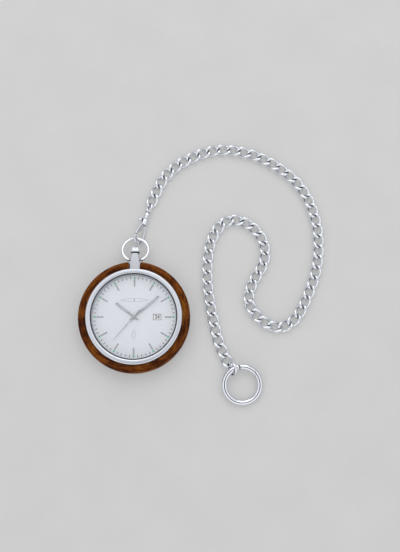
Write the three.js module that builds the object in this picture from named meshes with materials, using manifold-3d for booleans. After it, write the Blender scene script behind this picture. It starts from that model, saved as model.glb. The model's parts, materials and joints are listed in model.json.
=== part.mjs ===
// Pocket watch with a wooden rim, carried on a steel curb chain with a snap clasp at one end
// and a spring-gate ring at the other.
// Millimetres, +Z up. The watch lies on its back on z = 0, the centre of its case back at the
// origin and twelve o'clock towards +Y. The chain lies on the same plane, to the watch's right.

import * as THREE from "three";
import { mergeVertices } from "three/addons/utils/BufferGeometryUtils.js";
import Module from "manifold-3d";

// ---------------------------------------------------------------- driving dimensions

// Gaps between neighbouring pieces
const fit = 0.1; // pressed, seated or glued pieces
const running = 0.08; // round pieces that turn in each other
const freeGap = 0.15; // pieces that swing past each other

// Watch case
const caseRadius = 21.5;
const caseWall = 1.3;
const caseLift = 0.3; // the case wall's foot above the case back's outer face
const backThickness = 1.2;
const seatDepth = 0.8; // inner step that the case back and the movement holder sit on
const seatHeight = 0.5;
const bezelWidth = 2.2;
const bezelHeight = 1.6;
const bezelChamfer = 0.6;
const crystalThickness = 1.2;
const crystalGap = 0.35; // between the second hand and the crystal
const rimWidth = 3.5;
const rimLift = 1.6;
const rimRound = 1.5;
const rimGap = 0.12; // between the rim's cut ends and the neck's root

// Movement and dial
const movementRadius = 13.1;
const movementThickness = 2.8;
const batteryRadius = 4.75;
const batteryThickness = 1.6;
const batteryMargin = 1.85; // between the battery and the movement's edge
const batteryProud = 0.6;
const dateWidth = 4.6;
const dateMargin = 0.5; // between the date disc and the movement's edge
const dateThickness = 0.3;
const dialThickness = 0.4;
const windowLength = 3.2;
const windowHeight = 2.3;
const batonLength = 3.2;
const batonMargin = 1.7; // between the batons and the rehaut
const batonWidth = 0.9;
const batonHeight = 0.25;
const rehautWidth = 1.1;
const rehautSlope = 0.4;

// Hands: their lengths as shares of the dial's visible radius
const handThickness = 0.2;
const handGap = 0.2; // between one hand and the next
const hourShare = 0.555;
const minuteShare = 0.775;
const secondShare = 0.737;
const hourAngle = 307; // clockwise from twelve
const minuteAngle = 50;
const secondAngle = 221;
const arborRadius = 0.22;
const pipeWall = 0.2;

// Neck, crown and bow
const neckRootHalfWidth = 2.5; // between the rim's ends
const neckHalfWidth = 2.0;
const neckTopHalfWidth = 1.35;
const neckThickness = 3.8;
const neckAbove = 2.8; // from the bow's pivot to the neck's top
const neckBevel = 0.25;
const stemRadius = 0.5;
const stemInsert = 4.1; // length of stem inside the movement
const gasketRadius = 2.0;
const gasketHeight = 0.3;
const crownRadius = 2.2;
const crownHeight = 3.35;
const crownBoreDepth = 1.6;
const pivotClear = 1.5; // from the rim to the bow's pivot
const pinRadius = 0.5;
const pinReach = 1.05; // where the bow's pins end inside the neck
const bowWire = 0.7; // radius
const bowHalfWidth = 5.9; // to the wire's centre line
const bowKnuckle = 0.76; // radius of the bow's rounded feet
const bowFootGap = 0.33; // between the feet and the neck
const hookRoom = 1.1; // between the clasp's hook and the crown
const bowTilt = 9.3; // degrees below level

// Snap clasp: X across its plane, Y along its axis towards the chain, from where it hooks the bow
const hookInner = 1.9;
const hookArm = 1.15;
const hookThickness = 1.1;
const hookSlack = 0.55; // between the bow's wire and the bottom of the hook
const gatePivotX = -0.45;
const gatePivotY = 7.9;
const gateTipHeight = 1.6;
const gateTipWidth = 1.1;
const gateShoulderX = -0.3; // where the gate reaches its full width
const gateShoulderY = 3.8;
const gateRootRadius = 0.75;
const gatePinRadius = 0.32;
const knobRadius = 0.9;
const knobX = -2.8;
const knobY = 8.7;
const headRadius = 1.7;
const headBottom = 6.9;
const slotTop = 9.7;
const headTop = 10.7;
const bulbRadius = 1.25;
const bulbAt = 12.1;
const bulbNeckRadius = 0.85;
const rivetRadius = 0.62;
const rivetThickness = 0.35;
const swivelStemRadius = 0.4;
const collarRadius = 1.25;
const collarHeight = 0.65;
const eyeWire = 0.55; // radius
const eyeRoom = 0.23; // beside the link's wire in the eye
const eyeLength = 4.2; // collar's foot to the bar's centre line
const claspOffset = 1.3; // where it hangs, right of the bow's middle
const claspYaw = 17.5; // degrees clockwise from twelve o'clock
const claspRoll = 45; // degrees between the hook's plane and the table

// Curb chain
const linkCount = 62;
const linksPerNode = 2;
const linkWire = 0.62; // radius
const linkSlack = 0.12; // play between two links in contact
const linkLengthRatio = 8.06; // inner length over wire radius
const linkWidthRatio = 3.42; // half width to the centre line over wire radius
const linkTwist = 45; // degrees from the link's middle to each of its ends
const twistSpread = 0.8; // 1 twists evenly, less twists most near the middle
const linkSquareness = 2.5; // 2 is an ellipse, more is squarer
const chainLift = 0.12; // between the links and the table
const beadRadius = 0.3;

// End ring with its gate, and the jump ring that joins it to the chain
const jumpRoom = 0.33; // beside the two wires that the jump ring holds
const jumpWire = 0.55;
const jumpSlack = 0.39; // between the jump ring and the last link, along the chain
const jumpLean = 59; // degrees from the table, its left side up
const jumpTurn = 9; // degrees right of the last link's direction
const ringRadius = 7.95;
const ringWire = 1.4;
const ringTurn = 3; // degrees left of the last link's direction, from the jump ring to its centre
const ringSlack = 0.5; // between the jump ring and the end ring
const ringRise = 0.2; // its near side above the jump ring's centre
const ringHinge = 106; // where the gate's hinge is, degrees round the end ring from +X
const ringNose = 43; // where the gate's free end meets the ring
const noseSlant = 95; // direction of the slanted cut there, degrees from +X
const noseMargin = 28; // degrees from the nose's middle that hold all of the slanted cut
const ringGateGap = 0.12;
const ringTongue = 1.3; // thickness of the gate's tongue between the ring's ears
const ringPinRadius = 0.35;

// The line the chain is laid along, from the clasp's eye to the jump ring.
// X to the right and Y up, from the contact in the clasp's eye.
const chainRoute = [
  [0, 0],
  [1.9, 4.2],
  [3.9, 9.0],
  [6.5, 13.4],
  [10.3, 17.4],
  [14.8, 20.6],
  [19.8, 23.2],
  [25.3, 25.4],
  [31.3, 26.7],
  [37.3, 26.7],
  [43.3, 25.7],
  [48.8, 24.1],
  [54.3, 21.6],
  [60.3, 18.0],
  [65.7, 13.8],
  [70.1, 8.8],
  [73.5, 3.0],
  [75.9, -3.6],
  [77.5, -10.8],
  [77.9, -18.1],
  [77.4, -25.8],
  [75.6, -34.1],
  [72.8, -41.6],
  [69.7, -48.4],
  [66.1, -53.9],
  [61.7, -56.8],
  [56.9, -57.1],
  [52.5, -55.0],
  [48.6, -51.5],
  [45.9, -47.4],
  [45.4, -42.7],
  [46.7, -37.8],
  [49.2, -33.1],
  [51.9, -29.0],
  [53.2, -24.2],
  [53.0, -19.4],
  [51.0, -14.5],
  [47.6, -10.5],
  [43.3, -7.9],
  [38.8, -7.0],
  [34.9, -7.9],
  [31.6, -10.7],
  [29.1, -14.8],
  [27.5, -20.0],
  [26.7, -25.6],
  [26.5, -32.1],
  [26.7, -38.6],
  [27.6, -45.6],
  [29.1, -53.1],
  [30.8, -60.8],
  [32.5, -66.3],
  [34.4, -70.6],
  [36.6, -74.4],
];

// ---------------------------------------------------------------- heights in the case

const seatBottom = backThickness + fit;
const holderBottom = seatBottom + seatHeight + fit;
const batteryBottom = holderBottom;
const movementBottom = batteryBottom + batteryProud;
const movementTop = movementBottom + movementThickness;
const stemHeight = movementBottom + movementThickness * 0.6;
const dateBottom = movementTop + fit;
const dialBottom = dateBottom + dateThickness + fit;
const dialTop = dialBottom + dialThickness;
const holderTop = dialBottom - fit;
const hourBottom = dialTop + batonHeight + fit;
const minuteBottom = hourBottom + handThickness + handGap;
const secondBottom = minuteBottom + handThickness + handGap;
const wallTop = secondBottom + handThickness + crystalGap;
const bezelBottom = wallTop + fit;

// ---------------------------------------------------------------- sizes that follow

const wallInner = caseRadius - caseWall;
const dialRadius = wallInner - fit;
const dialVisible = dialRadius - rehautWidth - rehautSlope;
const rimInner = caseRadius + fit;
const rimOuter = caseRadius + rimWidth;
const crystalRadius = caseRadius - bezelWidth - fit;
const stemBore = stemRadius + running;
const stemInnerEnd = movementRadius - stemInsert;
const dateOuter = movementRadius - dateMargin;
const dateMiddle = dateOuter - dateWidth / 2;
const batteryOffset = movementRadius - batteryRadius - batteryMargin;
const pivotAt = rimOuter + pivotClear; // from the watch's centre to the bow's pivot
const neckTop = pivotAt + neckAbove;
const gasketBottom = neckTop + fit;
const crownBottom = gasketBottom + gasketHeight + fit;
const crownTop = crownBottom + crownHeight;

const hookCentre = hookInner - bowWire - hookSlack;
const hookOuter = hookInner + hookArm;
const bowReach = crownTop - pivotAt + hookRoom + hookOuter - hookCentre; // pivot to the far wire
const bowFoot = neckHalfWidth + bowFootGap + bowKnuckle;
const bowDip = Math.acos(bowFoot / bowHalfWidth);
const bowHalfHeight = bowReach / (1 + Math.sin(bowDip));

const linkInnerLength = linkWire * linkLengthRatio;
const linkHalfWidth = linkWire * linkWidthRatio; // to the wire's centre line
const linkPitch = linkInnerLength - linkSlack;
const contactGap = linkSlack / 2;
const eyeHalfWidth = linkWire + eyeRoom + eyeWire; // to the wire's centre line
const jumpRadius = ringWire + linkWire + jumpRoom + jumpWire; // to the wire's centre line
const jumpAhead = jumpRadius - jumpWire - contactGap - jumpSlack; // last contact to its centre

// ---------------------------------------------------------------- solids

const wasm = await Module();
wasm.setup();

const degrees = THREE.MathUtils.degToRad;

// A three.js geometry as a solid that can be joined and cut.
function solid(geometry) {
  const bare = geometry.clone();
  bare.deleteAttribute("normal");
  bare.deleteAttribute("uv");
  const merged = mergeVertices(bare, 1e-4);
  const mesh = new wasm.Mesh({
    numProp: 3,
    vertProperties: new Float32Array(merged.attributes.position.array),
    triVerts: new Uint32Array(merged.index.array),
  });
  return new wasm.Manifold(mesh);
}

// A solid back as a three.js geometry with flat faces.
function geometryOf(body) {
  const mesh = body.getMesh();
  const geometry = new THREE.BufferGeometry();
  geometry.setAttribute("position", new THREE.BufferAttribute(mesh.vertProperties, 3));
  geometry.setIndex(new THREE.BufferAttribute(mesh.triVerts, 1));
  const flat = geometry.toNonIndexed();
  flat.computeVertexNormals();
  return flat;
}

function join(first, ...others) {
  return geometryOf(others.reduce((body, other) => body.add(solid(other)), solid(first)));
}

function cut(first, ...others) {
  return geometryOf(others.reduce((body, other) => body.subtract(solid(other)), solid(first)));
}

function moved(geometry, x, y, z) {
  return geometry.clone().translate(x, y, z);
}

// A turned piece about Z from a closed profile of [radius, height] points, anticlockwise.
function turned(profile, sides = 40) {
  const points = profile.map(([radius, height]) => new THREE.Vector2(radius, height));
  const onAxis = profile[0][0] === 0 && profile.at(-1)[0] === 0;
  if (!onAxis) points.push(points[0].clone());
  return new THREE.LatheGeometry(points, sides).rotateX(Math.PI / 2);
}

// A turned piece whose axis is Y.
function turnedAlongY(profile, sides) {
  return turned(profile, sides).rotateX(-Math.PI / 2);
}

function ringBetween(inner, outer, bottom, top, sides) {
  return turned([[inner, bottom], [outer, bottom], [outer, top], [inner, top]], sides);
}

function disc(radius, bottom, top, sides) {
  return turned([[0, bottom], [radius, bottom], [radius, top], [0, top]], sides);
}

function block(x0, x1, y0, y1, z0, z1) {
  const box = new THREE.BoxGeometry(x1 - x0, y1 - y0, z1 - z0);
  return box.translate((x0 + x1) / 2, (y0 + y1) / 2, (z0 + z1) / 2);
}

// A plate of an outline in the XY plane, its middle at height z.
function plate(outline, thickness, z, bevel = 0) {
  const shape = new THREE.Shape(outline.map(([x, y]) => new THREE.Vector2(x, y)));
  const body = new THREE.ExtrudeGeometry(shape, {
    depth: thickness - 2 * bevel,
    bevelEnabled: bevel > 0,
    bevelThickness: bevel,
    bevelSize: bevel,
    bevelOffset: -bevel,
    bevelSegments: 1,
    curveSegments: 8,
  });
  return body.translate(0, 0, z - thickness / 2 + bevel);
}

// A round bar along a path of points.
function bar(points, radius, sides, steps) {
  const path = new THREE.CatmullRomCurve3(points, false, "centripetal");
  const section = new THREE.Shape();
  for (let i = 0; i <= sides; i++) {
    const turn = (2 * Math.PI * i) / sides;
    const x = radius * Math.cos(turn);
    const y = radius * Math.sin(turn);
    if (i) section.lineTo(x, y);
    else section.moveTo(x, y);
  }
  return new THREE.ExtrudeGeometry(section, { steps, extrudePath: path, curveSegments: 1 });
}

// Points of an arc in the XY plane, angles in degrees.
function arc(x, y, radiusX, radiusY, from, to, steps) {
  const points = [];
  for (let i = 0; i <= steps; i++) {
    const turn = degrees(from + ((to - from) * i) / steps);
    points.push([x + radiusX * Math.cos(turn), y + radiusY * Math.sin(turn)]);
  }
  return points;
}

// ---------------------------------------------------------------- materials

function metal(color, roughness, metalness = 1) {
  return () => new THREE.MeshStandardMaterial({ color, roughness, metalness });
}

const steel = metal(0xc4c9d2, 0.22);
const brightSteel = metal(0xd6dae2, 0.12);
const brushedSteel = metal(0xb0b5bd, 0.4);
const brass = metal(0xb8975a, 0.4);
const blackRubber = metal(0x18181a, 0.8, 0);
const walnut = metal(0x6b3413, 0.55, 0);
const dialWhite = metal(0xe4e7ee, 0.45, 0.2);
const handSilver = metal(0xaeb4be, 0.25);
const printedWhite = metal(0xf2f2ee, 0.6, 0);
const greyPlastic = metal(0x6f7276, 0.6, 0);

function crystalClear() {
  const glass = new THREE.MeshStandardMaterial({ color: 0xe6eef5, roughness: 0.03 });
  glass.transparent = true;
  glass.opacity = 0.3;
  return glass;
}

const part = new THREE.Group();

function add(group, name, geometry, material) {
  const mesh = new THREE.Mesh(geometry, material());
  mesh.name = name;
  group.add(mesh);
}

// ---------------------------------------------------------------- watch case

function caseBody() {
  const wall = turned([
    [wallInner, caseLift],
    [caseRadius, caseLift],
    [caseRadius, wallTop],
    [wallInner, wallTop],
    [wallInner, seatBottom + seatHeight],
    [wallInner - seatDepth, seatBottom + seatHeight],
    [wallInner - seatDepth, seatBottom],
    [wallInner, seatBottom],
  ]);
  const rightSide = [
    [neckRootHalfWidth, wallInner + caseWall / 2],
    [neckRootHalfWidth, rimOuter - 0.8],
    [neckHalfWidth, rimOuter],
    [neckHalfWidth, pivotAt - 0.2],
    [neckTopHalfWidth, neckTop - 0.6],
    [neckTopHalfWidth, neckTop],
  ];
  const leftSide = rightSide.map(([x, y]) => [-x, y]).reverse();
  const neck = plate([...rightSide, ...leftSide], neckThickness, stemHeight, neckBevel);
  const bore = moved(
    new THREE.CylinderGeometry(stemBore, stemBore, neckTop - wallInner + 4, 16),
    0,
    (neckTop + wallInner) / 2,
    stemHeight,
  );
  const holes = [-1, 1].map((side) => {
    const from = pinReach - running;
    const to = neckHalfWidth + 1;
    const hole = new THREE.CylinderGeometry(pinRadius + running, pinRadius + running, to - from, 12);
    return moved(hole.rotateZ(Math.PI / 2), (side * (from + to)) / 2, pivotAt, stemHeight);
  });
  return geometryOf(
    [bore, ...holes].reduce(
      (body, tool) => body.subtract(solid(tool)),
      solid(wall).add(solid(neck)),
    ),
  );
}

function woodRim() {
  const top = bezelBottom;
  const outerEdge = arc(rimOuter - rimRound, top - rimRound, rimRound, rimRound, 0, 90, 3);
  const lowerEdge = arc(rimOuter - rimRound, rimLift + rimRound, rimRound, rimRound, -90, 0, 3);
  const rim = turned([[rimInner, rimLift], ...lowerEdge, ...outerEdge, [rimInner, top]], 48);
  const half = neckRootHalfWidth + rimGap;
  return cut(rim, block(-half, half, 0, rimOuter + 1, rimLift - 1, top + 1));
}

function bezel() {
  const inner = caseRadius - bezelWidth;
  const top = bezelBottom + bezelHeight;
  return turned([
    [inner, bezelBottom],
    [caseRadius, bezelBottom],
    [caseRadius, top - bezelChamfer],
    [caseRadius - bezelChamfer, top],
    [inner + bezelChamfer / 2, top],
    [inner, top - bezelChamfer / 2],
  ], 48);
}

add(part, "case_body", caseBody(), steel);
add(part, "wood_rim", woodRim(), walnut);
add(part, "bezel_ring", bezel(), brightSteel);
add(part, "case_back", disc(wallInner - fit, 0, backThickness), brushedSteel);
add(part, "crystal", disc(crystalRadius, bezelBottom, wallTop + crystalThickness), crystalClear);

// ---------------------------------------------------------------- movement

function movementBody() {
  const body = disc(movementRadius, movementBottom, movementTop, 40);
  const pocketTop = batteryBottom + batteryThickness + fit;
  const pocket = moved(disc(batteryRadius + fit, movementBottom - 1, pocketTop, 32), 0, -batteryOffset, 0);
  const stemHole = new THREE.CylinderGeometry(stemBore, stemBore, movementRadius, 16);
  const stemEnd = stemInnerEnd - fit;
  const arborBore = arborRadius + 2 * pipeWall + 3 * running + fit;
  const arborHole = disc(arborBore, movementTop - 1, movementTop + 1, 16);
  return cut(body, pocket, moved(stemHole, 0, stemEnd + movementRadius / 2, stemHeight), arborHole);
}

function movementHolder() {
  const holder = ringBetween(movementRadius + fit, wallInner - fit, holderBottom, holderTop);
  const channel = stemBore + fit;
  return cut(holder, block(-channel, channel, 0, wallInner, stemHeight - channel, stemHeight + channel));
}

add(part, "movement", movementBody(), brass);
add(part, "movement_holder", movementHolder(), greyPlastic);
const battery = disc(batteryRadius, batteryBottom, batteryBottom + batteryThickness, 32);
add(part, "battery", moved(battery, 0, -batteryOffset, 0), brushedSteel);
const dateDisc = ringBetween(dateOuter - dateWidth, dateOuter, dateBottom, dateBottom + dateThickness);
add(part, "date_disc", dateDisc, printedWhite);

// ---------------------------------------------------------------- dial and hands

const hourBore = arborRadius + pipeWall + 2 * running;
const dialBore = hourBore + pipeWall + running + pipeWall;

function dialPlate() {
  const plateBody = ringBetween(dialBore, dialRadius, dialBottom, dialTop, 48);
  const batonEnd = dialVisible - batonMargin;
  const batons = [];
  for (let hour = 1; hour <= 12; hour++) {
    const baton = block(
      -batonWidth / 2,
      batonWidth / 2,
      batonEnd - batonLength,
      batonEnd,
      dialTop - dialThickness / 2,
      dialTop + batonHeight,
    );
    batons.push(baton.rotateZ(degrees(-30 * hour)));
  }
  const window = block(
    dateMiddle - windowLength / 2,
    dateMiddle + windowLength / 2,
    -windowHeight / 2,
    windowHeight / 2,
    dialBottom - 1,
    dialTop + 1,
  );
  const marked = batons.reduce((body, baton) => body.add(solid(baton)), solid(plateBody));
  return geometryOf(marked.subtract(solid(window)));
}

function rehaut() {
  const bottom = dialTop + fit;
  return turned([
    [dialVisible, bottom],
    [dialRadius, bottom],
    [dialRadius, wallTop],
    [dialVisible + rehautSlope, wallTop],
  ], 48);
}

// A hand pointing to twelve: a tapered blade with a tail, and a hub on its pipe or arbor.
function hand(length, halfWidth, tail, hubRadius, boreRadius, pipeRadius, bottom, foot) {
  const blade = plate(
    [
      [-halfWidth * 0.6, -tail],
      [halfWidth * 0.6, -tail],
      [halfWidth, length * 0.35],
      [halfWidth * 0.9, length * 0.8],
      [0.08, length],
      [-0.08, length],
      [-halfWidth * 0.9, length * 0.8],
      [-halfWidth, length * 0.35],
    ],
    handThickness,
    bottom + handThickness / 2,
  );
  const hub = disc(hubRadius, bottom, bottom + handThickness, 20);
  const pipe = disc(pipeRadius, foot, bottom + handThickness / 2, 16);
  let body = solid(blade).add(solid(hub)).add(solid(pipe));
  if (boreRadius > 0) {
    body = body.subtract(solid(disc(boreRadius, foot - 1, bottom + handThickness + 1, 16)));
  }
  return geometryOf(body);
}

const pipeFoot = movementTop - 0.6;
const minuteBore = arborRadius + running;
const minutePipe = minuteBore + pipeWall;
const hourPipe = hourBore + pipeWall;
const hourLength = dialVisible * hourShare;
const minuteLength = dialVisible * minuteShare;
const secondLength = dialVisible * secondShare;
const hourHand = hand(hourLength, 0.6, 2.2, 1.4, hourBore, hourPipe, hourBottom, pipeFoot);
const minuteHand = hand(minuteLength, 0.55, 2.6, 1.2, minuteBore, minutePipe, minuteBottom, pipeFoot);
const secondHand = hand(secondLength, 0.2, 4, 0.7, 0, arborRadius, secondBottom, pipeFoot);

add(part, "dial", dialPlate(), dialWhite);
add(part, "rehaut_ring", rehaut(), brushedSteel);
add(part, "hour_hand", hourHand.rotateZ(degrees(-hourAngle)), handSilver);
add(part, "minute_hand", minuteHand.rotateZ(degrees(-minuteAngle)), handSilver);
add(part, "second_hand", secondHand.rotateZ(degrees(-secondAngle)), handSilver);

// ---------------------------------------------------------------- stem, crown and bow

function crown() {
  const bore = stemRadius + fit;
  return turnedAlongY([
    [0, crownBottom + crownBoreDepth],
    [bore, crownBottom + crownBoreDepth],
    [bore, crownBottom],
    [crownRadius * 0.9, crownBottom],
    [crownRadius, crownBottom + crownHeight * 0.12],
    [crownRadius, crownBottom + crownHeight * 0.32],
    [crownRadius * 0.86, crownBottom + crownHeight * 0.62],
    [crownRadius * 0.55, crownBottom + crownHeight * 0.88],
    [crownRadius * 0.2, crownTop],
    [0, crownTop],
  ], 24);
}

function bow() {
  const dip = THREE.MathUtils.radToDeg(bowDip);
  const oval = arc(0, bowReach - bowHalfHeight, bowHalfWidth, bowHalfHeight, -dip, 180 + dip, 24);
  const loop = bar(oval.map(([x, y]) => new THREE.Vector3(x, y, 0)), bowWire, 8, 24);
  const feet = [-1, 1].flatMap((side) => {
    const pin = new THREE.CylinderGeometry(pinRadius, pinRadius, bowFoot - pinReach, 12);
    const knuckle = new THREE.SphereGeometry(bowKnuckle, 8, 6);
    return [
      moved(pin.rotateZ(Math.PI / 2), (side * (bowFoot + pinReach)) / 2, 0, 0),
      moved(knuckle, side * bowFoot, 0, 0),
    ];
  });
  return join(loop, ...feet);
}

const stemLength = crownBottom + crownBoreDepth - fit - stemInnerEnd;
const stem = new THREE.CylinderGeometry(stemRadius, stemRadius, stemLength, 12);
add(part, "winding_stem", moved(stem, 0, stemInnerEnd + stemLength / 2, stemHeight), brushedSteel);
const gasket = turnedAlongY([
  [stemBore, gasketBottom + gasketHeight],
  [stemBore, gasketBottom],
  [gasketRadius, gasketBottom],
  [gasketRadius, gasketBottom + gasketHeight],
], 20);
add(part, "crown_gasket", moved(gasket, 0, 0, stemHeight), blackRubber);
add(part, "crown", moved(crown(), 0, 0, stemHeight), brightSteel);

const bowGroup = new THREE.Group();
bowGroup.position.set(0, pivotAt, stemHeight);
bowGroup.rotation.x = degrees(-bowTilt);
part.add(bowGroup);
add(bowGroup, "bow", bow(), brightSteel);

// ---------------------------------------------------------------- one link of the chain

// The centre line of one link: a squarish oval along X, twisted about X so that its two ends
// stand at right angles to each other. The end ahead has its right side up.
class LinkCurve extends THREE.Curve {
  getPoint(t) {
    const turn = 2 * Math.PI * t;
    const power = 2 / linkSquareness;
    const c = Math.cos(turn);
    const s = Math.sin(turn);
    const halfLength = linkInnerLength / 2 + linkWire;
    const x = halfLength * Math.sign(c) * Math.abs(c) ** power;
    const across = linkHalfWidth * Math.sign(s) * Math.abs(s) ** power;
    const along = x / halfLength;
    const twist = degrees(linkTwist) * Math.sign(along) * Math.abs(along) ** twistSpread;
    return new THREE.Vector3(x, across * Math.cos(twist), -across * Math.sin(twist));
  }
}

const linkGeometry = new THREE.TubeGeometry(new LinkCurve(), 12, linkWire, 6, true);
linkGeometry.computeBoundingBox();
const chainHeight = chainLift - linkGeometry.boundingBox.min.z; // centre line above the table

// ---------------------------------------------------------------- snap clasp

// The clasp hangs on the bow's far wire and slopes down to the chain's height.
const hangY = bowReach - bowHalfHeight + bowHalfHeight * Math.sqrt(1 - (claspOffset / bowHalfWidth) ** 2);
const hangPoint = new THREE.Vector3(
  claspOffset,
  pivotAt + hangY * Math.cos(degrees(bowTilt)),
  stemHeight - hangY * Math.sin(degrees(bowTilt)),
);
const collarBottom = bulbAt + bulbRadius + fit;
const eyeBar = collarBottom + eyeLength;
const eyeContact = eyeBar - eyeWire - contactGap;
const claspSlope = Math.asin((hangPoint.z - chainHeight) / eyeContact);

const claspGroup = new THREE.Group();
claspGroup.position.copy(hangPoint);
claspGroup.rotation.order = "ZXY";
claspGroup.rotation.set(-claspSlope, degrees(claspRoll), degrees(-claspYaw));
part.add(claspGroup);

const slotSide = rivetRadius + freeGap; // right wall of the head's slot
const gateSweep = Math.hypot(hookOuter + gatePivotX, gatePivotY - gateTipHeight);

// Height of the hook's tip under the gate's end, on the arc that the gate's end swings through.
function tipHeight(x) {
  return gatePivotY - Math.sqrt((gateSweep + freeGap) ** 2 - (x - gatePivotX) ** 2);
}

function claspBody() {
  const armTop = headBottom + 0.7;
  const outline = [
    [-hookInner, tipHeight(-hookInner)],
    ...arc(0, hookCentre, hookInner, hookInner, 180, 360, 12),
    [slotSide, armTop],
    [headRadius - 0.1, armTop],
    ...arc(0, hookCentre, hookOuter, hookOuter, 0, -180, 14),
    [-hookOuter, tipHeight(-hookOuter)],
  ];
  const hook = plate(outline.reverse(), hookThickness, 0, 0.15);
  const head = turnedAlongY([
    [0, bulbAt + bulbRadius],
    [0, headBottom],
    [headRadius * 0.8, headBottom],
    [headRadius, headBottom + 0.5],
    [headRadius, slotTop],
    [bulbNeckRadius, headTop],
    [bulbNeckRadius, bulbAt - bulbRadius * 0.8],
    [bulbRadius, bulbAt - bulbRadius * 0.4],
    [bulbRadius, bulbAt + bulbRadius * 0.4],
    [bulbRadius * 0.75, bulbAt + bulbRadius],
  ], 20);
  const slotHalf = hookThickness / 2 + freeGap;
  const slot = block(-headRadius - 1, slotSide, headBottom - 1, slotTop, -slotHalf, slotHalf);
  const boreRadius = swivelStemRadius + running;
  const boreLength = bulbAt + bulbRadius - slotTop + 2;
  const bore = new THREE.CylinderGeometry(boreRadius, boreRadius, boreLength, 12);
  const pinHole = gatePinRadius + fit;
  const pinBore = new THREE.CylinderGeometry(pinHole, pinHole, 2 * headRadius + 1, 12);
  return geometryOf(
    solid(head)
      .subtract(solid(slot))
      .add(solid(hook))
      .subtract(solid(moved(bore, 0, (bulbAt + bulbRadius + slotTop) / 2, 0)))
      .subtract(solid(moved(pinBore.rotateX(Math.PI / 2), gatePivotX, gatePivotY, 0))),
  );
}

function claspGate() {
  const tipX = -hookOuter;
  const innerX = tipX + gateTipWidth;
  const outline = [
    [tipX, gateTipHeight],
    [innerX, gateTipHeight],
    [innerX + 0.4, gateTipHeight + 1],
    [gateShoulderX, gateShoulderY],
    [gatePivotX + gateRootRadius, gatePivotY],
    ...arc(gatePivotX, gatePivotY, gateRootRadius, gateRootRadius, 0, 150, 5),
    [knobX, gatePivotY + 0.8],
    [knobX, gatePivotY - 0.1],
    [gatePivotX - gateRootRadius - 0.4, gatePivotY - 0.9],
  ];
  const lever = plate(outline, hookThickness, 0, 0.15);
  const knob = moved(new THREE.SphereGeometry(knobRadius, 12, 8), knobX, knobY, 0);
  const boreRadius = gatePinRadius + running;
  const bore = new THREE.CylinderGeometry(boreRadius, boreRadius, hookThickness + 1, 12);
  return geometryOf(
    solid(lever)
      .add(solid(knob))
      .subtract(solid(moved(bore.rotateX(Math.PI / 2), gatePivotX, gatePivotY, 0))),
  );
}

function swivelEye() {
  const foot = slotTop - fit - rivetThickness;
  const turnedPart = turnedAlongY([
    [0, collarBottom + collarHeight],
    [0, foot],
    [swivelStemRadius, foot],
    [swivelStemRadius, collarBottom],
    [collarRadius, collarBottom],
    [collarRadius, collarBottom + collarHeight * 0.7],
    [collarRadius * 0.8, collarBottom + collarHeight],
  ], 16);
  const legFoot = collarBottom + collarHeight / 2;
  const shoulder = eyeBar - eyeHalfWidth;
  const loop = [
    [-eyeHalfWidth * 0.55, legFoot],
    [-eyeHalfWidth * 0.8, (legFoot + shoulder) / 2 - 0.4],
    ...arc(0, shoulder, eyeHalfWidth, eyeHalfWidth, 180, 0, 8),
    [eyeHalfWidth * 0.8, (legFoot + shoulder) / 2 - 0.4],
    [eyeHalfWidth * 0.55, legFoot],
  ];
  const eye = bar(loop.map(([x, y]) => new THREE.Vector3(x, y, 0)), eyeWire, 8, 20);
  return join(turnedPart, eye.rotateY(Math.PI / 2));
}

function swivelRivet() {
  const top = slotTop - fit;
  return turnedAlongY([
    [swivelStemRadius + running, top],
    [swivelStemRadius + running, top - rivetThickness],
    [rivetRadius, top - rivetThickness],
    [rivetRadius, top],
  ], 16);
}

const gatePinLength = 2 * Math.sqrt(headRadius ** 2 - gatePivotX ** 2) - 0.1;
const gatePin = new THREE.CylinderGeometry(gatePinRadius, gatePinRadius, gatePinLength, 12);
add(claspGroup, "clasp_body", claspBody(), brightSteel);
add(claspGroup, "clasp_gate", claspGate(), brightSteel);
add(claspGroup, "clasp_gate_pin", moved(gatePin.rotateX(Math.PI / 2), gatePivotX, gatePivotY, 0), steel);
add(claspGroup, "swivel_eye", swivelEye(), brightSteel);
add(claspGroup, "swivel_rivet", swivelRivet(), steel);

// ---------------------------------------------------------------- curb chain

// The route at the chain's real length: the shape is kept, and its scale follows the links.
const routePoints = chainRoute.map(([x, y]) => new THREE.Vector3(x, y, 0));
const routeLine = new THREE.CatmullRomCurve3(routePoints, false, "centripetal");
const routeScale = (linkCount * linkPitch) / routeLine.getLength();
const chainStart = new THREE.Vector3(0, eyeContact, 0).applyMatrix4(
  new THREE.Matrix4().compose(
    claspGroup.position,
    new THREE.Quaternion().setFromEuler(claspGroup.rotation),
    new THREE.Vector3(1, 1, 1),
  ),
);
const chainLine = new THREE.CatmullRomCurve3(
  routePoints.map((p) => p.clone().multiplyScalar(routeScale).add(chainStart)),
  false,
  "centripetal",
);
chainLine.arcLengthDivisions = 2000;
const lineLength = chainLine.getLength();
const contacts = [];
for (let i = 0; i <= linkCount; i++) {
  contacts.push(chainLine.getPointAt((i * linkPitch) / lineLength));
}

// Where a link lies: its middle between two contacts, its X axis along them, its Z up.
function linkPlace(index) {
  const from = contacts[index];
  const to = contacts[index + 1];
  const turn = Math.atan2(to.y - from.y, to.x - from.x);
  const middle = from.clone().add(to).multiplyScalar(0.5);
  return new THREE.Matrix4().makeTranslation(middle).multiply(new THREE.Matrix4().makeRotationZ(turn));
}

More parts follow.
